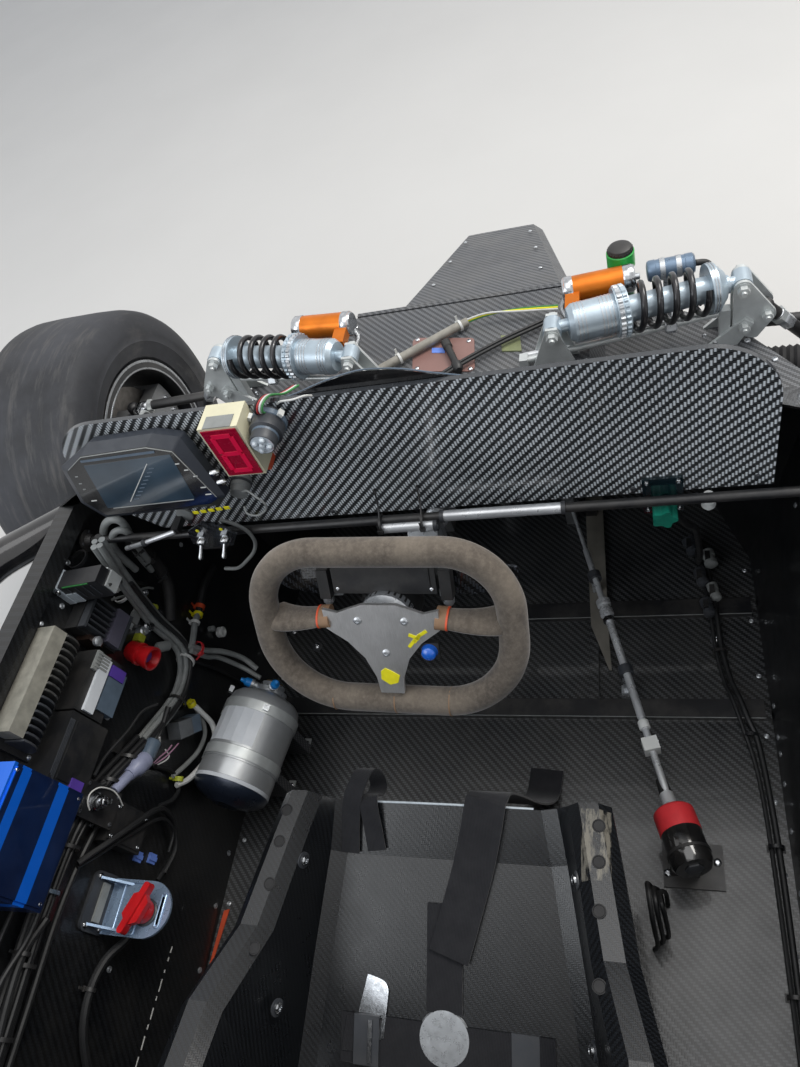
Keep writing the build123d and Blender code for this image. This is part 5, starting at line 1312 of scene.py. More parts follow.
# Column, floor, gear linkage and the right side
def column_bracket():
    """Cross tube under the dash with its silver sleeves, a painted highlight where light falls on the black
    tube, and the clamp that carries the column.
    """
    p = Piece()
    x, z, reach = 931, 552, 493
    p.rod((x, -reach, z), (x, reach, z), 5.8, "black_satin", 28)
    # silver sleeves: painted highlight on the black tube, where light falls on it
    for low, high, along, height in ((-18, 52, 924, 545), (-172, -27, x, z)):
        span = high - low
        p.lathe([(0, 6.0), (1, 6.8), (span - 1, 6.8), (span, 6.0)], (along, low, height),
                (along, high, height), "sleeve_silver", 28)
        for y in (low, high):
            p.band((along, y, height), (along, y + 1, height), -2.4, 2.4, 6.2, 8, "dark_grey", 24)
    for side in (-1, 1):
        y = side * reach
        p.lathe([(0, 16), (3, 16), (4, 10), (12, 8)], (x, y + side * 0.4, z), (x, y - side * 20, z),
                "black_satin")
        for k in range(3):
            turn = tau * k / 3 + 0.5
            p.bolt((x + 12.6 * cos(turn), y - side * 2.6, z + 12.6 * sin(turn)), (0, -side, 0), 2.2,
                   "dark_grey")
    for y in (-3, 51):
        tie(p, (928, y, 548.5), (0, 1, 0), 10.6, "black_satin", 3)
        p.tube([(x - 4, y, 559), (x + 8, y, 572), (948.6, y, 592)], 1.2, "black_satin", 7)
    clamp = [(913, 500), (941, 500), (943, 520), (941, 536), (935, 543), (920, 543), (913, 536)]
    p.prism(clamp, -19, 19, "alloy", ACROSS, 2.0)
    for y in (-13, 13):
        for bolt_z in (529, 508):
            p.bolt((913, y, bolt_z), -AHEAD, 4)
    p.box((911.5, -20, 521), (914.5, 20, 523), "dark_grey", None, 0.2)
    p.done("column_bracket_detailed", "chassis", ["column_bracket"])


column_bracket()


def column_joint():
    """Universal joint and collars on the steering column."""
    p = Piece()
    a, b = Vector((750, 0, 611)), Vector((1290, 0, 330))
    axis = (b - a).normalized()
    collar = [(0, 14), (1, 15.5), (11, 15.5), (12, 14)]
    for along, profile, name in (
            (250, [(0, 12), (3, 16), (20, 16), (26, 13), (30, 13)], "alloy"),
            (292, [(0, 13), (4, 13), (10, 16), (27, 16), (30, 12)], "alloy"),
            (150, collar, "dark_grey"), (430, collar, "dark_grey")):
        p.lathe(profile, a + axis * along, b, name, 30)
    middle = a + axis * 286
    for pin in (LEFT * 19, axis.cross(LEFT) * 19):
        p.rod(middle - pin, middle + pin, 5, "steel")
    p.done("column_joint", "steering_wheel")


column_joint()


def linkage():
    """Gear change rod: silver tube, knuckle, clamp, ferrule, red band and black housing on its foot."""
    p = Piece()
    a, b, c = Vector((1180, -150, 112)), Vector((716, -270, 148)), Vector((640, -292, 165))
    reach, ahead = (b - a).length, (b - a).normalized()
    rod = [(0, 5), (112, 5), (113, 8), (116, 11.4), (126, 11.4), (128, 8.5), (134, 8.5), (136, 11),
           (146, 11), (149, 6), (336, 6), (337, 5), (reach, 5)]
    p.lathe(rod, a, b, "sleeve_silver", 24)
    p.rod(a - ahead * 112, a + ahead * 4, 3.4, "sleeve_silver")
    p.box((1286, -166, 68), (1300, -146, 92), "black_satin", None, 1)
    p.lathe([(0, 7.4), (1, 8), (12, 8), (13, 7.4)], a + ahead * 342, b, "white_plastic", 20)
    clamp = aimed(a + ahead * 372, b)
    p.box((-11, -10, 0), (11, 10, 20), "white_plastic", clamp, 2.2)
    p.box((-12, -2, 3), (12, 2, 17), "cable_grey", clamp, 0.6)
    for z in (5, 15):
        p.bolt(at(clamp, 11, 0, z), clamp.to_3x3().col[0], 3)
    p.hexagon(a + ahead * 152, b - a, 9.5, 8)
    length = (c - b).length
    p.lathe([(-52, 5.4), (-50, 7.5), (-30, 8.6), (-28, 8.2)], b, c, "rubber", 28)
    p.lathe([(-28, 8.6), (-27, 9.6), (-8, 9.6), (-6, 12), (-2, 13)], b, c, "sleeve_silver")
    p.lathe([(-3, 13), (-1, 24), (2, 27), (4, 27.4), (32, 27.4), (33, 26.6)], b, c, "red_tape", 44)
    p.lathe([(32, 26.6), (34, 27), (length - 6, 27), (length, 23)], b, c, "black_gloss", 44)
    p.band(b, c, 60, 64, 26.8, 28.2, "black_satin", 44)
    p.lathe([(length, 12), (length + 2, 12), (length + 3, 9)], b, c, "dark_grey", 6)
    p.box((655, -300, FLOOR), (685, -262, 150), "black_satin", None, 2.2)
    p.box((640, -332, FLOOR), (700, -252, FLOOR + 4), "black_satin", None, 1.0)
    for x, y in ((658, -258), (676, -324)):
        p.bolt((x, y, 64), UP, 5.4)
    for x in (1120, 935):
        spot = a + (b - a) * (a.x - x) / (a.x - b.x)
        p.box((x - 7, spot.y - 11, FLOOR), (x + 7, spot.y + 11, FLOOR + 6), "alloy", None, 1)
        p.box((x - 3, spot.y - 7, FLOOR), (x + 3, spot.y + 7, spot.z - 7), "alloy", None, 1)
        p.band(spot, b, -7, 7, 6.3, 11, "dark_grey", 20)
    p.done("gear_linkage_detailed", "chassis", ["gear_linkage"])


linkage()


def floor_details():
    """Ribs, strip and orange mark of the floor, dashes on the wall, and the rivets of both."""
    p = Piece()
    strip = [(1332, -144), (1051, -155), (967, -184), (967, -188), (1012, -185), (1078, -183), (1332, -176)]
    p.prism(strip, 68.6, 70.2, "floor_strip", None, 0.5)
    for low, high in ((886, 917), (1067, 1098)):
        p.box((low, -410, FLOOR), (high, 410, FLOOR + 8.6), "black_satin", None, 2.0)
        # painted highlight, a pale line, on each rib's rear top edge, and painted shade, a dark line, on its
        # front top edge
        p.tube([(low + 1, -410, 68), (low + 1, 410, 68)], 1.0, "cable_grey", 6)
        p.tube([(high - 1, -410, 68), (high - 1, 410, 68)], 0.5, "dark_grey", 6)
    p.prism([(560, 404), (557, 413), (452, 416.5), (450, 414)], 60, 61.6, "orange_trim", None, 0.3)
    dashes = [(488, 8), (474, 5), (458, 4), (446, 16), (424, 5), (410, 14), (390, 6), (376, 16), (352, 20),
              (322, 12)]
    for x, length in dashes:
        h = 90.6 + (490 - x) * 0.052
        p.box((x - length, h - 0.9, 0), (x, h + 0.9, 0.5), "cable_white", LEFT_WALL, 0.1)
    for x, y in ((1025, -352), (1025, 352), (560, 330), (300, 330), (300, -330)):
        p.lathe([(0, 9.4), (1.6, 9.4), (2, 8.4)], (x, y, FLOOR), (x, y, FLOOR + 6), "dark_grey", 20)
        p.bolt((x, y, 62), UP, 5.6)
    for x in range(-20, 1160, 98):
        for side in (-1, 1):
            rivet(p, (x, side * 408, FLOOR), UP, 3.6)
    # wall rivets, left and right: along the car and up the wall
    rows = [(x, 535) for x in range(-20, 940, 96)] + [(x, 16) for x in (903, 854, 829, 785, 720, 640, 560,
                                                                        470, 380, 290, 200, 110, 20)]
    rows += [(887, 508), (829, 489), (730, 350), (440, 200), (240, 200), (1040, 330), (1100, 250)]
    for x, h in rows:
        spot = wall(x, h, 0)
        rivet(p, spot, INWARD, 4.2)
        rivet(p, (spot.x, -spot.y, spot.z), (0, -INWARD[1], INWARD[2]), 4.2)
    p.done("floor_and_wall_fasteners", "chassis")


floor_details()


def right_side():
    """Cable from the knob down to the floor, its connectors, and the run along the right wall."""
    p = Piece()
    p.tube([(946, -294, 514), (958, -306, 470), (972, -318, 440), (1010, -326, 330), (1090, -330, 190),
            (1160, -334, 104), (1206, -336, 78), (1196, -344, 74), (1150, -350, 73), (1110, -353, 74),
            (1060, -356, 74), (1010, -358, 68), (953, -366, 68), (920, -375, 74), (884, -384, 74),
            (840, -396, 66), (700, -404, 65), (500, -405, 65), (250, -405, 65), (20, -405, 65)], 4.2,
           "cable_black", 10, cut=5)
    p.tube([(1206, -330, 68), (1150, -340, 68), (1110, -343, 72), (1060, -347, 72), (1000, -350, 65),
            (946, -358, 65), (920, -365, 72), (884, -373, 72), (800, -390, 64), (650, -396, 64),
            (400, -397, 64), (20, -397, 64)], 3.0, "cable_black", 8, cut=4)
    # columns: material, start, end, radius
    for name, a, b, radius in (
            ("dark_grey", (1212, -322, 82), (1176, -332, 82), 12),
            ("cable_grey", (1186, -350, 81), (1150, -357, 81), 11),
            ("dark_grey", (1150, -334, 80), (1116, -341, 80), 10),
            ("cable_grey", (1120, -352, 80), (1090, -358, 80), 9),
            ("dark_grey", (1090, -340, 81), (1060, -346, 81), 10)):
        p.lathe([(0, radius * 0.6), (2, radius), (12, radius), (13, radius * 0.85), (22, radius * 0.85),
                 (23, radius), (30, radius), (33, radius * 0.6)], a, b, name, 16)
        start = Vector(a)
        p.box((start.x - 22, start.y - 4, FLOOR), (start.x - 8, start.y + 4, start.z + radius + 2),
              "black_plastic", None, 1)
    p.lathe([(0, 6), (8, 6), (9, 8), (18, 8), (19, 5), (24, 4)], (941, -330, 545), (941, -330, 512),
            "white_plastic", 20)
    for x in (1100, 1000, 860, 700, 520, 340, 160):
        y = -356 if x > 980 else (-386 if x > 800 else -401)
        p.box((x - 5, y - 12, FLOOR), (x + 5, y + 12, FLOOR + 1.6), "black_plastic", None, 0.5)
        p.band((x, y, 66), (x + 1, y, 66), -2.4, 2.4, 9, 10.4, "black_satin", 20)
    p.done("right_side_cable", "chassis")


right_side()


# Dash wiring
def dash_wiring():
    """Loops, rods, plugs and wires behind the dash and over its edge, and its fasteners."""
    p = Piece()
    p.tube([(944, 478, 470), (942, 480, 510), (940, 472, 545), (940, 453, 572), (941, 436, 582),
            (942, 425, 576), (944, 430, 552), (948, 446, 520), (952, 458, 480), (954, 462, 440)], 5.6,
           "cable_grey", 12)
    p.tube([(936, 466, 468), (934, 466, 508), (932, 459, 538), (932, 444, 560), (934, 432, 566),
            (936, 424, 560), (940, 428, 540), (946, 440, 508), (950, 448, 470)], 5.2, "cable_grey", 12)
    p.tube([(944, 440, 530), (952, 448, 498), (962, 452, 452), (948, 452, 405), (905, 452, 372)], 9,
           "rubber", 14)
    for spot in ((952, 446, 505), (958, 451, 470), (956, 452, 430)):
        tie(p, spot, (0.2, 0.1, -1), 9.4, "black_satin", 4)
    for a, b in (((918, 426, 545), (918, 391, 555)), ((918, 388, 556), (924, 338, 567))):
        p.rod(a, b, 3.4, "sleeve_silver", 14)
    p.lathe([(0, 4.6), (1, 5.4), (6, 5.4), (7, 4.6)], (918, 393, 554.4), (918, 385, 557), "dark_grey", 16)
    p.box((924, 332, 562), (DASH - 0.2, 342, 572), "black_satin", None, 1)
    p.lathe([(0, 10), (2, 12.4), (16, 12.4), (17, 11), (25, 11), (26, 8)], (DASH, 211, 634), (915, 211, 629),
            "cable_grey", 24)
    p.band((DASH, 211, 634), (915, 211, 629), 8, 11, 12.4, 13.4, "dark_grey", 24)
    p.tube([(912, 204, 622), (905, 200, 616), (903, 186, 614), (903, 171, 624), (903, 168, 636),
            (906, 176, 646), (914, 188, 648), (920, 200, 640)], 1.3, "cable_grey", 7)
    p.tube([(915, 252, 596), (918, 240, 582), (922, 232, 560), (924, 234, 534), (924, 246, 512),
            (925, 268, 490), (928, 292, 470), (934, 318, 462)], 2.6, "cable_grey", 8)
    # wires from the back of the lamp, over the dash edge
    for k, name in enumerate(("cable_green", "cable_white", "cable_red", "cable_black")):
        y = 124 + k * 3
        p.tube([(940, y, 744), (932, y - 1, 754), (936, y - 4, 762), (950, y - 8, 760), (968, y - 14, 744),
                (990, y - 22, 734)], 1.3, name, 7)
    p.tube([(948, 112, 748), (938, 100, 760), (934, 84, 764), (942, 74, 760), (950, 70, 752)], 1.2,
           "cable_white", 7)
    cone = [(0, 13.5), (10, 15.5), (26, 18.5), (27, 20), (33, 20), (36, 17)]
    p.lathe(cone, (909, 127, 731), (DASH, 127, 731), "slate_plastic", 30)
    for turn in (0.5, 2.6, 4.6):
        place = aimed((909, 127, 731), (DASH, 127, 731)) @ Matrix.Rotation(turn, 4, "Z")
        p.box((20, -3, 26), (24, 3, 34), "white_plastic", place, 0.6)
    # blank yellow tape on the display's lower edge
    for k in range(5):
        y = 262 - k * 11.2
        p.box((895.5, y - 7.4, 634.4 + k * 1.1), (896.6, y, 639 + k * 1.1), "yellow", None, 0.2)
    # dash fasteners
    for y, z in ((-380, 560), (418, 640), (-250, 554), (-120, 554), (120, 554), (330, 554)):
        p.bolt((DASH, y, z), -AHEAD, 3.2, "dark_grey")
    p.done("dash_wiring", "chassis")


# The scuttle cowl: radius and drop of the arcs at its two edges, its rear edge, and its length
REAR_ARC, FRONT_ARC = (1013.6, 271.6), (2571.5, 2073.5)
COWL_REAR, COWL_LENGTH = 956.3, 223.7


def arc_height(arc, y):
    """Height of one of the cowl's arcs at a place across the car."""
    radius, drop = arc
    return (radius ** 2 - y ** 2) ** 0.5 - drop


def cowl_lip():
    """Glossy bump on the cowl's rear edge, over the middle of the dash, with a painted highlight as a pale
    line along its edge.
    """
    p = Piece()
    # columns: place across the car, height
    ridge = [(200, 722), (170, 728), (146, 735), (123.6, 742), (88, 751.5), (56, 762), (21, 770), (-1, 771),
             (-34, 766), (-65, 755.5), (-107, 743), (-134, 735), (-160, 729), (-190, 723.5)]
    line = smooth_line([Vector((0, y, z)) for y, z in ridge], False, 3)
    rings = []
    for spot in line:
        crown = arc_height(REAR_ARC, spot.y)
        slope = (crown - arc_height(FRONT_ARC, spot.y)) / COWL_LENGTH
        bump = max(spot.z - crown, 0.0)
        # columns: along the car, height over the cowl
        section = [(956.7, -3), (956.7, bump), (966, bump * 0.98 + 0.5), (985, bump * 0.85 + 0.4),
                   (1012, bump * 0.5 + 0.3), (1040, bump * 0.15), (1060, -2), (1010, -5)]
        rings.append([(x, spot.y, crown - slope * (x - COWL_REAR) + lift) for x, lift in section])
    p.loft(rings, "black_gloss")
    # painted highlight: a pale line along the lip's top
    p.tube([(958.2, spot.y, spot.z + 0.2) for spot in line], 0.8, "slate_plastic", 6, cut=1)
    p.done("cowl_lip", "chassis")


dash_wiring()
cowl_lip()


# Seat belts
SEAT = [(655, 316, 0), (600, 281, 2), (480, 232, 6), (300, 160, 25), (130, 300, 62), (20, 560, 74),
        (-14, 790, 80)]


def pan(start, share, height):
    """Point above the middle of the seat pan, as (along the car, up)."""
    ends = []
    for x, z, lean in SEAT[start:start + 2]:
        ends.append(Vector((x + height * sin(radians(lean)), z + height * cos(radians(lean)))))
    return ends[0] + (ends[1] - ends[0]) * share


def belt(p, places, y_low, y_high, lift=6.4, thick=2.4, drift=0.0):
    """Woven band along the pan, with rolled edges and perhaps a drift sideways."""
    middle, half = (y_low + y_high) / 2, (y_high - y_low) / 2
    section = [(-half, 0.5), (-half + 1.2, 0), (half - 1.2, 0), (half, 0.5), (half, thick),
               (half - 1.4, thick + 0.3), (half * 0.4, thick), (-half * 0.4, thick),
               (-half + 1.4, thick + 0.3), (-half, thick)]
    rings = []
    for i, place in enumerate(places):
        shift = middle + drift * i / (len(places) - 1)
        spots = [(y, pan(*place, lift + height)) for y, height in section]
        rings.append([(spot.x, shift + y, spot.y) for y, spot in spots])
    p.loft(rings, "webbing")


def ribbon(p, points, width, thick):
    """Flat band whose width runs across the car, on a smooth line of (x, y, z) points."""
    line = smooth_line([Vector(point) for point in points], False, 6)
    rings = []
    for i, spot in enumerate(line):
        ahead = (line[min(i + 1, len(line) - 1)] - line[max(i - 1, 0)]).normalized()
        across = (LEFT - ahead * ahead.y).normalized()
        out = ahead.cross(across)
        rings.append([spot + across * (a * width / 2) + out * (b * thick / 2)
                      for a, b in ((-1, -1), (1, -1), (1, 1), (-1, 1))])
    p.loft(rings, "webbing")


def harness():
    """Shoulder, lap and middle belts on the seat, with their adjusters, tongues and buckle."""
    p = Piece()
    shoulder = [(5, 0.98), (5, 0.5), (5, 0), (4, 0.5), (4, 0), (3, 0.5), (3, 0), (2, 0.62)]
    for side in (-1, 1):
        low, high = sorted((side * 12, side * 58))
        belt(p, shoulder, low, high)
        spot = pan(3, 0.45, 9.4)
        rise = pan(4, 0, 9.4) - pan(3, 0, 9.4)
        place = plane((spot.x, side * 35, spot.y), (0, 1, 0), (rise.x, 0, rise.y))
        p.box((-28, -12, -0.4), (28, 12, 3.4), "dark_grey", place, 1.2)
        p.box((-22, -8, 3.4), (22, -3, 6), "steel", place, 0.8)
        p.box((-24, 3, 3), (24, 9, 7), "dark_grey", place, 1.4)
        belt(p, [(3, 0.5), (3, 0.2), (3, 0), (2, 0.8)], low + 4, high - 4, 9.4, 2.2)
        spot = pan(2, 0.62, 8.4)
        tongue = plane((spot.x, side * 35, spot.y), (0, 1, 0), (1, 0, 0.4))
        p.prism(rounded([(-23, -14, 4), (23, -14, 4), (14, 26, 6), (-14, 26, 6)], 4), 0, 2.6, "steel",
                tongue, 0.6)
    belt(p, [(2, 0.56), (2, 0.42), (2, 0.28)], -130, 130)
    for side in (-1, 1):
        spot = pan(2, 0.42, 9)
        place = plane((spot.x, side * 96, spot.y), (0, side, 0), (-1, 0, -0.4))
        p.box((-16, -27, -0.6), (16, 27, 4), "dark_grey", place, 1.4)
        p.box((-8, -23, 4), (-3, 23, 7), "steel", place, 0.8)
    spot = pan(2, 0.36, 9.2)
    buckle = plane((spot.x, 0, spot.y), (0, 1, 0), (1, 0, 0.4))
    p.lathe([(0, 30), (3, 32), (10, 32), (13, 29), (14, 24)], buckle.translation, at(buckle, 0, 0, 30),
            "alloy", 40)
    p.lathe([(13, 22), (16, 22), (18, 18), (18.4, 6)], buckle.translation, at(buckle, 0, 0, 30),
            "dark_grey", 36)
    p.box((-20, -4, 15), (20, 4, 21), "red", buckle, 1.6)
    belt(p, [(2, 0.22), (2, 0.1), (2, 0), (1, 0.7), (1, 0.4)], -22, 22)
    # band from the pan over the front lip and down to the floor, and a loop beside it
    ribbon(p, [(498, -6, 251), (540, -20, 268), (590, -36, 289), (630, -48, 314), (654, -54, 329),
               (664, -57, 329), (676, -60, 316), (690, -66, 262), (712, -74, 170), (738, -80, 100),
               (764, -84, 68), (800, -87, 63)], 50, 2.6)
    ribbon(p, [(600, 124, 292), (630, 122, 312), (654, 118, 331), (672, 112, 338), (694, 108, 330),
               (700, 104, 306), (690, 102, 286), (674, 102, 296), (664, 100, 322), (650, 96, 328),
               (628, 92, 311), (604, 88, 294)], 24, 2.4)
    eye = plane((443, 92, 224), (0.25, 1, 0), (1, -0.2, 0.4))
    p.prism(rounded([(-24, -34, 5), (24, -34, 5), (18, 30, 12), (-18, 30, 12)], 5), 0, 2.8, "steel", eye, 0.7)
    p.box((-15, -24, 2.8), (15, -14, 3.4), "black_plastic", eye, 0.3)
    belt(p, [(2, 0.5), (2, 0.3)], 84, 128, 9.6, 2.2, drift=-6.0)
    p.done("seat_belts", "chassis", ["harness"])


harness()


def seat_trim():
    """Bright lip, bolts, rubber buttons and feet of the seat, and three loose loops of cable beside it."""
    p = Piece()
    p.tube([(656.4, -112, 321), (656.8, -60, 322), (656.8, 0, 322.4), (656.8, 60, 322), (656.4, 112, 321)],
           1.5, "clear", 8)
    out = Vector((-0.16, -0.96, 0.23))
    for x, y, z, side in ((575.6, 166.3, 337.8, 1), (575.6, -166.3, 337.8, -1), (420, 181, 300, 1),
                          (420, -181, 300, -1)):
        axis = Vector((out.x, out.y * side, out.z))
        p.lathe([(0, 10), (1.6, 10), (2, 8.6)], (x, y, z), Vector((x, y, z)) + axis, "dark_grey", 20)
        p.bolt(Vector((x, y, z)) + axis * 2, axis, 6)
    for x, z in ((629, 359.4), (590, 361), (540, 363), (470, 366)):
        for side in (-1, 1):
            p.lathe([(0, 7.4), (0.9, 7.4), (1.2, 6.4), (0.5, 5.6), (0.5, 0.6)], (x, side * 192, z),
                    (x, side * 192, z + 9), "rubber", 20)
    for x, z in ((480, 234), (300, 164)):
        for side in (-1, 1):
            p.box((x - 22, side * 100 - 20, FLOOR), (x + 22, side * 100 + 20, FLOOR + 4), "alloy", None, 1)
            for bolt_x in (x - 15, x + 15):
                p.bolt((bolt_x, side * 100, 64), UP, 4.4)
    for k in range(3):
        y = -236 - k * 7
        p.tube([(560 + k * 8, y, 64), (556 + k * 6, y - 6, 120), (566 + k * 5, y - 4, 190),
                (600 - k * 6, y, 210), (622 - k * 5, y + 2, 150), (626, y - 4, 90), (616, y - 6, 64)], 3.0,
               "cable_black", 8)
    p.done("seat_trim", "chassis")


seat_trim()


# Front suspension, dampers and footbox
# Outside of the tub: along the car, half width at the floor, lean
TUB = [(-60, 431, 0.159), (956, 431, 0.159), (1180, 431, 0.159), (1320, 377, 0.05), (1440, 212, 0.04)]
# Inner and outer end of the left dampers, front and rear
DAMPERS = [((1248, 151, 553), (1303, 401, 544)), ((-1055, 290, 478), (-1055, 544, 222))]


def outer_wall(x, z):
    """Half width of the tub outside, at a place along the car and a height."""
    for (x0, y0, lean0), (x1, y1, lean1) in zip(TUB, TUB[1:]):
        if x0 <= x <= x1:
            t = (x - x0) / (x1 - x0)
            return (y0 + lean0 * (z - FLOOR)) * (1 - t) + (y1 + lean1 * (z - FLOOR)) * t
    raise ValueError("no wall there")


def cog(p, start, end, inner, outer, teeth, low, high, name):
    """Knurled ring between two distances from start towards end."""
    shape = []
    for k in range(teeth):
        for share, radius in ((0.0, inner), (0.25, outer), (0.5, outer), (0.75, inner)):
            turn = tau * (k + share) / teeth
            shape.append((radius * cos(turn), radius * sin(turn)))
    p.prism(shape, low, high, name, aimed(start, end))


def through_bolt(p, spot, axis, reach, radius, name="zinc"):
    """Bolt through a bracket: hexagon head on one side and a nut with its thread on the other."""
    axis = Vector(axis).normalized()
    head, nut = Vector(spot) + axis * reach, Vector(spot) - axis * reach
    p.lathe([(0, radius * 1.35), (1.2, radius * 1.35)], head, head + axis, name, 18)
    p.hexagon(head + axis * 1.2, axis, radius * 1.1, radius * 0.9, name)
    p.lathe([(0, radius * 1.35), (1.2, radius * 1.35)], nut, nut - axis, name, 18)
    p.hexagon(nut - axis * 1.2, -axis, radius * 1.1, radius * 1.1, name)
    p.lathe([(0, radius * 0.6), (radius * 0.5, radius * 0.5)], nut - axis * (1.2 + radius * 1.1),
            nut - axis * 99, name, 12)


def dampers():
    """Adjuster rings, caps, bolts, canister ends, hoses and knobs of the dampers, front and rear."""
    p = Piece()
    for inner, outer in DAMPERS:
        for side in (-1, 1):
            a, b = mirrored(inner, side), mirrored(outer, side)
            length = (b - a).length
            cog(p, a, b, 34.4, 36.4, 28, 88, 94, "alloy")
            cog(p, a, b, 34.4, 36.4, 28, 96, 101, "blue_alloy")
            for along in (33, 38, 43, 66, 71, 76, 81):
                p.band(a, b, along, along + 1.4, 26.8, 27.7, "alloy", 40)
            for along in (length - 43, length - 39.5):
                p.band(a, b, along, along + 1.4, 33.8, 34.8, "steel", 40)
            p.lathe([(0, 10), (5, 10), (6, 12.4), (12, 12.4), (13, 10)], b - (b - a).normalized() * 30, b,
                    "blue_alloy", 24)
            for spot in (a, b):
                through_bolt(p, spot, AHEAD, 18.5, 7.4)
    for side in (-1, 1):
        x = 1303
        for spot, reach in (((x, 404, 484), 23.8), ((x, 433, 497), 18.5)):
            through_bolt(p, mirrored(spot, side), AHEAD, reach, 6.6)
        a, b = Vector((1338, side * 258, 550)), Vector((1330, side * 166, 550))
        p.lathe([(-7, 12), (-6, 17), (-2, 19.8), (9, 19.8), (10, 19.2)], a, b, "steel", 36)
        p.lathe([(-13, 3), (-12.4, 4.6), (-7, 4.6)], a, b, "alloy", 14)
        p.lathe([(80, 19.2), (81, 19.8), (91, 19.8), (95, 17), (96, 10)], a, b, "steel", 36)
        # adjuster knob and short hose from the canister to the damper
        p.tube([(1331, side * 168, 541), (1322, side * 160, 528), (1306, side * 168, 520),
                (1290, side * 184, 524), (1280, side * 190, 532)], 4.6, "braid", 12)
        p.lathe([(0, 7), (2, 9), (14, 9), (16, 7)], (1275, side * 300, 505), (1280, side * 379, 505),
                "alloy", 6)
        for y, z in ((366, 462), (352, 478)):
            rivet(p, (1279.2, side * y, z), -AHEAD, 3.4, "steel")
        for x in (1230.6, 1266):
            p.bolt((x + (2 if x > 1248 else -2), side * 128, 497), (1 if x > 1248 else -1, 0, 0), 3.2)
    p.lathe([(0, 4.6), (112, 4.6), (113, 7), (126, 7), (127, 4.6), (284, 4.6)], (1255, -102, 504),
            (1294, -383, 504), "sleeve_silver", 18)
    p.done("damper_trim", "chassis")


dampers()


def arms():
    """Clevises, rod ends and lock nuts of the front arms and pushrods."""
    p = Piece()
    legs = [(1215, 130), (1425, 130), (1225, 362), (1425, 375)]
    for side in (-1, 1):
        for x, z in legs:
            slope = (outer_wall(x + 1, z) - outer_wall(x - 1, z)) / 2
            y = outer_wall(x, z) + 12.3 * (1 + slope ** 2 + 0.025) ** 0.5
            for low, high in ((z - 17.5, z - 12.6), (z + 12.6, z + 17.5)):
                outline = [(x - 17, side * (outer_wall(x - 17, z) - 1)),
                           (x + 14, side * (outer_wall(x + 14, z) - 1)), (x + 12, side * (y + 3)),
                           (x + 5, side * (y + 12)), (x - 5, side * (y + 12)), (x - 12, side * (y + 4))]
                p.prism(outline, low, high, "alloy", None, 0.8)
            through_bolt(p, (x, side * y, z), UP, 17.6, 6.6)
        balls = [((1385, 706, 165), (1215, 130)), ((1385, 706, 165), (1425, 130)),
                 ((1375, 686, 395), (1225, 362)), ((1375, 686, 395), (1425, 375))]
        for ball, (x, z) in balls:
            foot = Vector((x, outer_wall(x, z) + 14, z))
            head = Vector(ball)
            for a, b in ((head, foot), (foot, head)):
                a, b = mirrored(a, side), mirrored(b, side)
                p.lathe([(11, 8.4), (14, 10), (30, 10), (32, 9.4)], a, b, "steel", 20)
                p.hexagon(a + (b - a).normalized() * 33, b - a, 12, 8, "zinc")
        top, low = mirrored((1303, 433, 497), side), mirrored((1378, 660, 196), side)
        for a, b in ((top, low), (low, top)):
            p.lathe([(9, 7), (12, 8.6), (26, 8.6), (27, 10)], a, b, "steel", 20)
            p.hexagon(a + (b - a).normalized() * 28, b - a, 12.4, 9, "zinc")
            p.lathe([(38, 9.4), (40, 11), (58, 11), (60, 9.4)], a, b, "alloy", 6)
    p.done("arm_fittings", "chassis")


arms()


def footbox_details():
    """Brown and blue skins, tape, linkage and fasteners of the footbox and the crash box."""
    p = Piece()
    brown = rounded([(1347, 83, 8), (1326, -20, 8), (1250, -27, 8), (1267, 73, 8)], 4)
    p.prism(brown, 490, 491.8, "red_brown", None, 0.5)
    p.prism([(1315, 47), (1311, 25.4), (1299.5, 24.2), (1303.5, 45.6)], 491.8, 492.8, "pale_blue", None, 0.3)
    p.prism([(1323, -62), (1316, -92), (1282, -96), (1287, -66)], 490, 492, "lime_dull", None, 0.5)
    p.lathe([(0, 5), (2, 7.5), (16, 7.5), (18, 5.5), (58, 5.5), (60, 8), (72, 8), (76, 5)], (1318, 24, 499),
            (1250, -4, 499), "black_plastic", 18)
    for x, y in ((1340, 74), (1320, -12), (1256, -20), (1272, 66)):
        p.bolt((x, y, 491.6), UP, 3.6)
    for side in (-1, 1):
        for x in (1196, 1240, 1284, 1318, 1348, 1376, 1404, 1430):
            y = outer_wall(x, 450) - 12
            p.bolt((x, side * y, COVER_TOP), UP, 4.2, "alloy")
        for y in (60, 120, 180):
            p.bolt((1436, side * y, COVER_TOP), UP, 3.8, "alloy")
        for x in (1244, 1396):
            p.bolt((x, side * 190, 490), UP, 3.8)
    for k in range(8):
        y = -182 + k * 52
        for z in (458, 137):
            rivet(p, (1460, y, z), AHEAD, 4.4)
    for k in range(5):
        for side in (-1, 1):
            rivet(p, (1460, side * 193, 185 + k * 55), AHEAD, 4.4)
    for x, z, y in ((1500, 428, 120), (1600, 404, 100), (1700, 380, 84), (1790, 358, 66)):
        for side in (-1, 1):
            rivet(p, (x, side * y, z + 1.0), (0.24, 0, 0.97), 3.6)
    p.done("footbox_fittings", "chassis")


footbox_details()


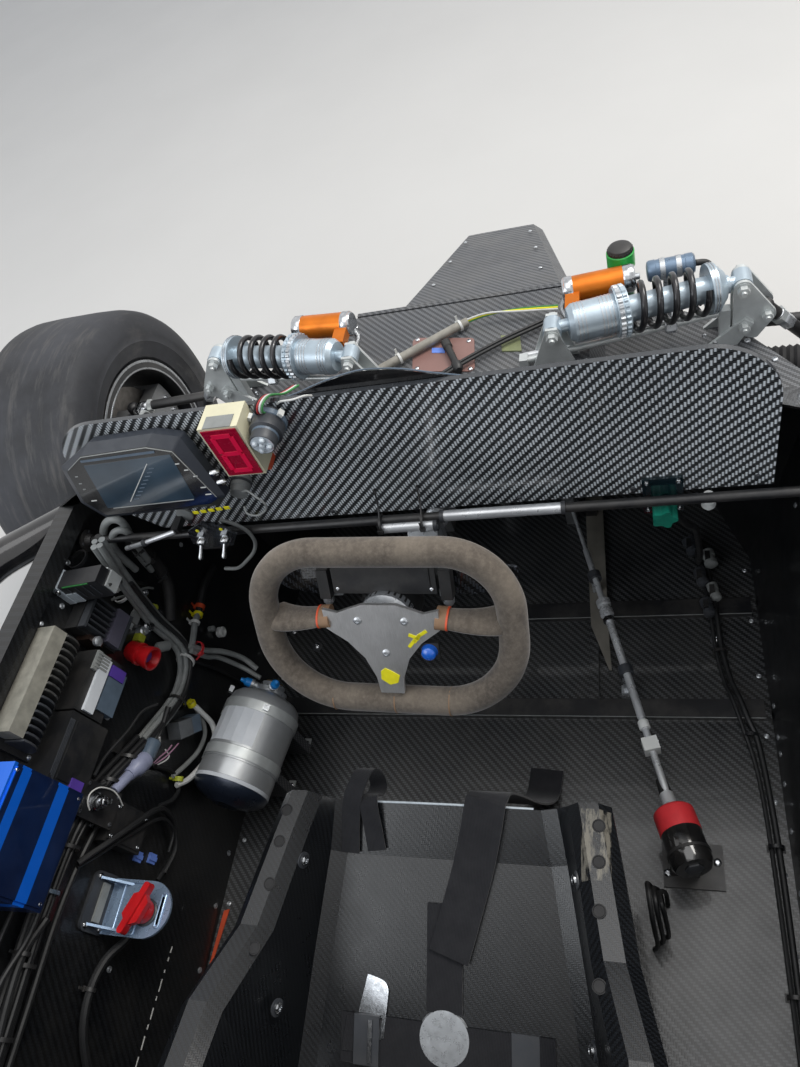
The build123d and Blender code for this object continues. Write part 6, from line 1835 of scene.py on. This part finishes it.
def reservoirs():
    """Tall pot with its green cap and the blue bottle, with their feet and hoses."""
    p = Piece()
    foot, top = (1378, -246, COVER_TOP + 0.3), (1378, -246, 560)
    p.lathe([(0, 15), (4, 15.6), (8, 15), (66, 16.8), (70, 17)], foot, top, "pot_green", 36)
    p.lathe([(70, 17), (90, 17.4), (90.6, 19.8), (113, 19.8), (114, 18.6)], foot, top, "green", 36)
    p.lathe([(113, 17), (114, 17.4), (118, 17.4), (121, 16), (123, 12), (123.4, 4)], foot, top,
            "black_plastic", 36)
    cog(p, foot, top, 17.4, 18.4, 26, 114, 118, "black_plastic")
    p.ring([(20, 16.4), (30, 16.8), (30, 18), (20, 18)], foot, top, "alloy", 36)
    p.box((1356, -252, 476), (1364, -240, 484), "alloy")
    p.box((1354, -262, COVER_TOP + 0.3), (1358, -230, 486), "alloy", None, 0.6)
    p.tube([(1378, -228, 462), (1372, -210, 462), (1352, -196, 470), (1330, -190, 494), (1310, -186, 498),
            (1280, -160, 498)], 4.6, "cable_black", 10)
    a, b = (1352, -280, 545), (1356, -346, 545)
    p.lathe([(0, 8), (1, 13), (4, 15), (12, 15), (12.6, 14.4), (52, 14.4), (52.6, 15), (62, 15), (65, 12),
             (66, 6)], a, b, "bottle_blue", 36)
    for along in (18, 40):
        p.band(a, b, along, along + 7, 14.3, 15.5, "alloy", 36)
    p.box((1348, -312, COVER_TOP + 0.3), (1358, -302, 545), "alloy")
    p.box((1340, -318, COVER_TOP + 0.3), (1366, -296, COVER_TOP + 4), "alloy")
    p.bolt((1362, -307, COVER_TOP + 4), UP, 3.4)
    p.tube([(1356, -346, 545), (1358, -362, 540), (1362, -372, 516), (1366, -372, 480), (1372, -352, 460)],
           4.4, "cable_black", 10)
    p.done("fluid_reservoirs_detailed", "chassis", ["fluid_reservoirs"])


reservoirs()


def seats_of_tubes():
    """Clamps at both ends of the side tubes, and bolts under the hoop."""
    p = Piece()
    for side in (-1, 1):
        for (x0, y0, z0), (x1, y1, z1) in (((700, 617, 596), (760, 606, 588)),
                                           ((160, 623, 600), (220, 627, 600))):
            a, b = Vector((x0, side * y0, z0)), Vector((x1, side * y1, z1))
            p.band(a, b, 0, 16, 24, 27.6, "dark_grey", 36)
        y = side * 390
        for x in (-50, -14):
            p.bolt((x, y - side * 20, 70), UP, 5.4)
    p.done("tube_bands", "chassis")


seats_of_tubes()


# Wheels
def wheel_trim(name, x, y, radius, width, body):
    """Centre nut, drive pegs, pale lip rings, valve, rim bolts and the brake disc's faces."""
    p = Piece()
    side = 1 if y > 0 else -1
    middle = Vector((x, y, radius))
    out = Vector((0, side, 0))
    rim_half = width / 2 - 14
    peg_circle, bolt_circle = 56, 149
    a, b = middle + out * (rim_half - 28), middle + out * (rim_half + 22)
    p.lathe([(0, 66), (3, 64), (4, 48), (7, 46)], a, b, "alloy", 48)
    p.lathe([(4, 34), (10, 34), (12, 30)], a, b, "dark_grey", 36)
    p.hexagon(a + out * 8, out, 27, 16, "nut_colour")
    p.lathe([(0, 17), (17, 17), (19, 13), (19, 6)], a + out * 8, b, "steel")
    for k in range(10):
        turn = tau * (k + 0.5) / 10
        ray = Vector((cos(turn), 0, sin(turn)))
        p.bolt(a + ray * peg_circle + out * 3.4, out, 4.6)
        p.bolt(middle + ray * bolt_circle + out * (rim_half - 31), out, 3.6, "alloy")
    for face in (-1, 1):
        edge = middle + out * face * rim_half
        for section in ([(-0.4, 171), (0.8, 172), (0.8, 176.4), (-0.4, 177)],
                        [(-0.4, 157.4), (0.7, 158.4), (0.7, 161), (-0.4, 161.6)]):
            p.ring(section, edge, edge + out * face, "rim_ring", 72)
    valve = middle + out * (rim_half - 16) + Vector((150, 0, 24))
    p.lathe([(0, 4), (10, 4), (11, 5.4), (18, 5.4), (19, 4)], valve, valve + Vector((-10, side * 8, 0)),
            "rubber", 14)
    # the brake disc's inner face, on the front and on the rear
    disc = 751 if x > 0 else 727
    for low in (disc - 0.4, disc + 12.4):
        p.band(Vector((x, 0, radius)), Vector((x, side, radius)), low, low + 6, 62, 128.5, "disc_iron", 72)
    for k in range(24):
        turn = tau * k / 24
        blade = Matrix.Translation((x, 0, radius)) @ Matrix.Rotation(-turn, 4, "Y")
        low, high = sorted((side * (disc + 5.4), side * (disc + 12.6)))
        p.box((72, low, -3), (128.2, high, 3), "disc_iron", blade, 0)
    p.done(name, body)


for name, x, y, radius, width in TYRES:
    wheel_trim(name.replace("tyre", "wheel_trim"), x, y, radius, width, body_of(name))


def calipers():
    """Bolts, pistons and hoses of the front brake calipers."""
    for side, body in ((1, "knuckle_left"), (-1, "knuckle_right")):
        p = Piece()
        for x, z in ((1472, 250), (1472, 310), (1506, 262), (1506, 298)):
            p.bolt((x, side * 718, z), (0, -side, 0), 6.4)
        for z in (256, 304):
            p.lathe([(0, 17), (4, 17), (6, 14)], (1489, side * 795, z), (1489, side * 802, z), "orange", 28)
        p.tube([(1460, side * 724, 322), (1440, side * 716, 340), (1404, side * 712, 350),
                (1390, side * 712, 330)], 4, "braid", 10)
        for z in (166, 396):
            p.bolt((1380, side * 711, 280 + (z - 280) * 0.3), (0, -side, 0), 7)
        p.done("caliper_trim_" + ("left" if side > 0 else "right"), body)


calipers()


# Bodywork and rear
def quarter_turn(p, spot, axis=(0, 0, 1)):
    """Quarter turn fastener with its slot."""
    a = Vector(spot)
    p.lathe([(0, 9.4), (0.8, 9.4), (1.4, 8.2), (1.0, 6.6), (1.6, 6.0)], a, a + Vector(axis), "alloy", 20)
    place = aimed(a, a + Vector(axis))
    p.box((-5, -0.9, 1.3), (5, 0.9, 2.1), "dark_grey", place, 0)


def pod_top(x):
    """Height of the side pod's top along the car."""
    table = [(-760, 540), (-60, 540), (500, 480), (850, 380)]
    for (x0, z0), (x1, z1) in zip(table, table[1:]):
        if x <= x1:
            return z0 + (z1 - z0) * (x - x0) / (x1 - x0)
    return 380


def louvre(p, spot):
    """Raised gill, 150 mm wide, with a dark sheet under its lip as painted shade for the slot."""
    half, place = 75, Matrix.Translation(spot)
    section = [(0, 0), (0, 9), (3, 10), (34, 0.6), (34, 0)]
    p.prism(section, -half, half, "white_paint", place @ ACROSS, 0.6)
    # painted shade: a dark sheet on the gill's front face stands for the open slot
    p.box((-0.6, 5 - half, 1), (0.6, half - 5, 7.6), "rubber", place, 0)


def bodywork():
    """Fasteners, gills, pod intakes with their mesh, tail lamps and the middle brake lamp."""
    p = Piece()
    deck, fender = 540, 640
    # the intake's edge: place along the car, and the middle and radius of its round corner
    mouth, middle_y, middle_z, bend = 848, 725, 270, 110
    for side in (-1, 1):
        for x in range(-720, 801, 152):
            slope = pod_top(x + 1) - pod_top(x)
            quarter_turn(p, (x, side * (outer_wall(max(x, -60), deck) + 30), pod_top(x)), (-slope, 0, 1))
        for x in (-700, -420, -140, 140, 420):
            y = 893.8 if x <= -60 else 892.6 - (x + 60) / 70
            quarter_turn(p, (x, side * y, 110), (0, side, 0))
        for k in range(7):
            louvre(p, (-330 - k * 46, side * 690, deck))
        edge = [(486, 379), (700, 379), (740, 376)]
        edge += [(middle_y + bend * sin(a), middle_z + bend * cos(a)) for a in (0.35, 0.75, 1.15, 1.5)]
        edge += [(834, 200), (834, 66)]
        p.tube([(mouth, side * y, z) for y, z in edge], 4, "carbon_gloss", 12)
        for z in range(96, 376, 20):
            reach = 826 if z < middle_z else middle_y + 100 * (1 - ((z - middle_z) / 108) ** 2) ** 0.5
            p.tube([(828, side * 490, z), (826, side * 650, z), (828, side * reach, z)], 1.3, "mesh_metal", 6)
        for y in range(500, 840, 20):
            top = 374 if y < middle_y else middle_z + 104 * max(0.0, 1 - ((y - middle_y) / bend) ** 2) ** 0.5
            p.tube([(827, side * y, 62), (826, side * y, top)], 1.3, "mesh_metal", 6)
        # fasteners, gills and lamps of the deck and the fender
        for x in range(-1560, -760, 132):
            quarter_turn(p, (x, side * 560, deck))
        for x in (-140, -300, -460, -620):
            quarter_turn(p, (x, side * 470, deck))
        for k in range(6):
            louvre(p, (-1020 - k * 44, side * 760, fender))
        for z, name in ((470, "lamp_red"), (400, "lamp_red"), (335, "lamp_clear")):
            front, back = (-1600, side * 845, z), (-1640, side * 845, z)
            p.lathe([(0, 30), (3, 30), (5, 27), (4, 25), (7, 23), (9, 16), (9.4, 4)], front, back, name, 36)
            p.band(front, back, 0, 4, 30, 33, "dark_grey", 36)
    for x, half in ((-200, 192), (-420, 200), (-640, 195), (-860, 180), (-1080, 158), (-1300, 130)):
        for side in (-1, 1):
            quarter_turn(p, (x, side * (half + 26), deck))
    p.box((-1612, -60, 470), (-1600, 60, 508), "dark_grey", None, 3)
    for k in range(8):
        y = -49 + k * 14
        for z in (482, 496):
            p.lathe([(0, 5.6), (2, 5.4), (3, 3)], (-1612, y, z), (-1620, y, z), "lamp_red", 14)
    p.box((-1604, -52, 508), (-1596, 52, 535), "dark_grey", None, 2)
    p.done("bodywork_fittings", "chassis")


bodywork()


def rear_details():
    """Wing and arm bolts, drive joints' boots, engine ribs, wing edge and exhaust tip."""
    p = Piece()
    for side in (-1, 1):
        for x, z in ((-1480, 958), (-1560, 900), (-1560, 960), (-1650, 900), (-1700, 980), (-1800, 1000),
                     (-1800, 820), (-1600, 800)):
            p.bolt((x, side * 891, z), (0, side, 0), 5, "alloy")
        for x, z in ((-1260, 360), (-1300, 350), (-1600, 866), (-1625, 866)):
            through_bolt(p, (x, side * 94.3, z), LEFT, 4.1, 5.6)
        p.box((-1650, side * 94.3 - 16, 873), (-1580, side * 94.3 + 16, 878), "alloy", None, 1.2)
        for x in (-880, -1290):
            for y, z in ((278.3, 440), (190, 190)):
                through_bolt(p, (x, side * y, z), AHEAD, 12.6, 6.4)
        joint = [(0, 40.4), (2, 41), (6, 41), (8, 38), (14, 38), (16, 41), (20, 41), (24, 36), (30, 38),
                 (36, 32), (42, 33), (48, 26), (54, 27), (60, 19), (66, 18)]
        p.lathe(joint, (-1120, side * 166, 290), (-1120, side * 240, 290), "rubber", 36)
    for k in range(5):
        z = 236 + k * 34
        for low, high in ((-146, -136), (136, 146)):
            p.box((-640 - k * 10, low, z - 2), (-600, high, z + 2), "cast", None, 0.6)
    p.tube([(-1858, -884, 1016.6), (-1858, 0, 1016.6), (-1858, 884, 1016.6)], 2.2, "carbon_gloss", 8)
    a, b = Vector((-1419, -170, 500)), Vector((-1421, -170, 500))
    p.ring([(-14, 26.2), (0, 26.2), (3, 28), (3, 25), (-14, 22)], a, b, "exhaust", 40)
    # the disc closing the tip is soot black: soot, and painted shade for the pipe's depth
    p.lathe([(0, 22), (0.6, 22)], a + Vector((0.4, 0, 0)), b, "soot_and_shade")
    p.done("rear_fittings", "chassis")


rear_details()


# Stage and light
SKY, SKY_STRENGTH = (0.86, 0.91, 1.0, 1), 0.6
BACKDROP = (0.92, 0.92, 0.92, 1)
FLOOR_REACH = 14.0


def floor():
    """Pale floor under the car."""
    mesh = bpy.data.meshes.new("floor")
    corners = [(x * FLOOR_REACH, y * FLOOR_REACH, 0) for x, y in ((-1, -1), (1, -1), (1, 1), (-1, 1))]
    mesh.from_pydata(corners, [], [(0, 1, 2, 3)])
    mesh.materials.append(finish("floor_paint", "cfcdc9", 0.75, mottle=0.03, size=2.0))
    made = bpy.data.objects.new("floor", mesh)
    bpy.context.scene.collection.objects.link(made)


def sky():
    """Cool light from all round. The camera, mirrors and glass see a plain pale backdrop instead."""
    world = bpy.context.scene.world or bpy.data.worlds.new("world")
    bpy.context.scene.world = world
    world.use_nodes = True
    tree = world.node_tree

    def either(a, b):
        """1 when a or b is 1."""
        node = tree.nodes.new("ShaderNodeMath")
        node.operation = "MAXIMUM"
        tree.links.new(a, node.inputs[0])
        tree.links.new(b, node.inputs[1])
        return node.outputs[0]

    light, backdrop = tree.nodes["Background"], tree.nodes.new("ShaderNodeBackground")
    for node, colour, strength in ((light, SKY, SKY_STRENGTH), (backdrop, BACKDROP, 1.0)):
        node.inputs["Color"].default_value = colour
        node.inputs["Strength"].default_value = strength
    ray = tree.nodes.new("ShaderNodeLightPath").outputs
    seen = either(ray["Is Camera Ray"], either(ray["Is Glossy Ray"], ray["Is Transmission Ray"]))
    blend = tree.nodes.new("ShaderNodeMixShader")
    for socket, source in zip(blend.inputs, (seen, light.outputs[0], backdrop.outputs[0])):
        tree.links.new(source, socket)
    tree.links.new(blend.outputs[0], tree.nodes["World Output"].inputs[0])


# columns: name, place, aim, size, watts, colour
LAMPS = [
    ("key", (2.6, -2.2, 4.2), (0.6, 0, 0.3), 2.2, 150, (1.0, 0.97, 0.92)),
    ("fill", (-2.4, 3.2, 3.4), (0, 0, 0.4), 3.0, 80, (0.9, 0.95, 1.0)),
    ("top", (0.4, 0.2, 4.6), (0.4, 0, 0), 3.4, 55, (1.0, 1.0, 1.0)),
]


def lamp(name, spot, aim, size, watts, colour):
    """Square lamp that points at a place."""
    data = bpy.data.lights.new(name, "AREA")
    data.size = size
    data.energy = watts
    data.color = colour
    made = bpy.data.objects.new(name, data)
    made.location = spot
    made.rotation_euler = (Vector(aim) - Vector(spot)).to_track_quat("-Z", "Y").to_euler()
    bpy.context.scene.collection.objects.link(made)


floor()
sky()
for row in LAMPS:
    lamp(*row)
bpy.context.scene.view_settings.view_transform = "Standard"
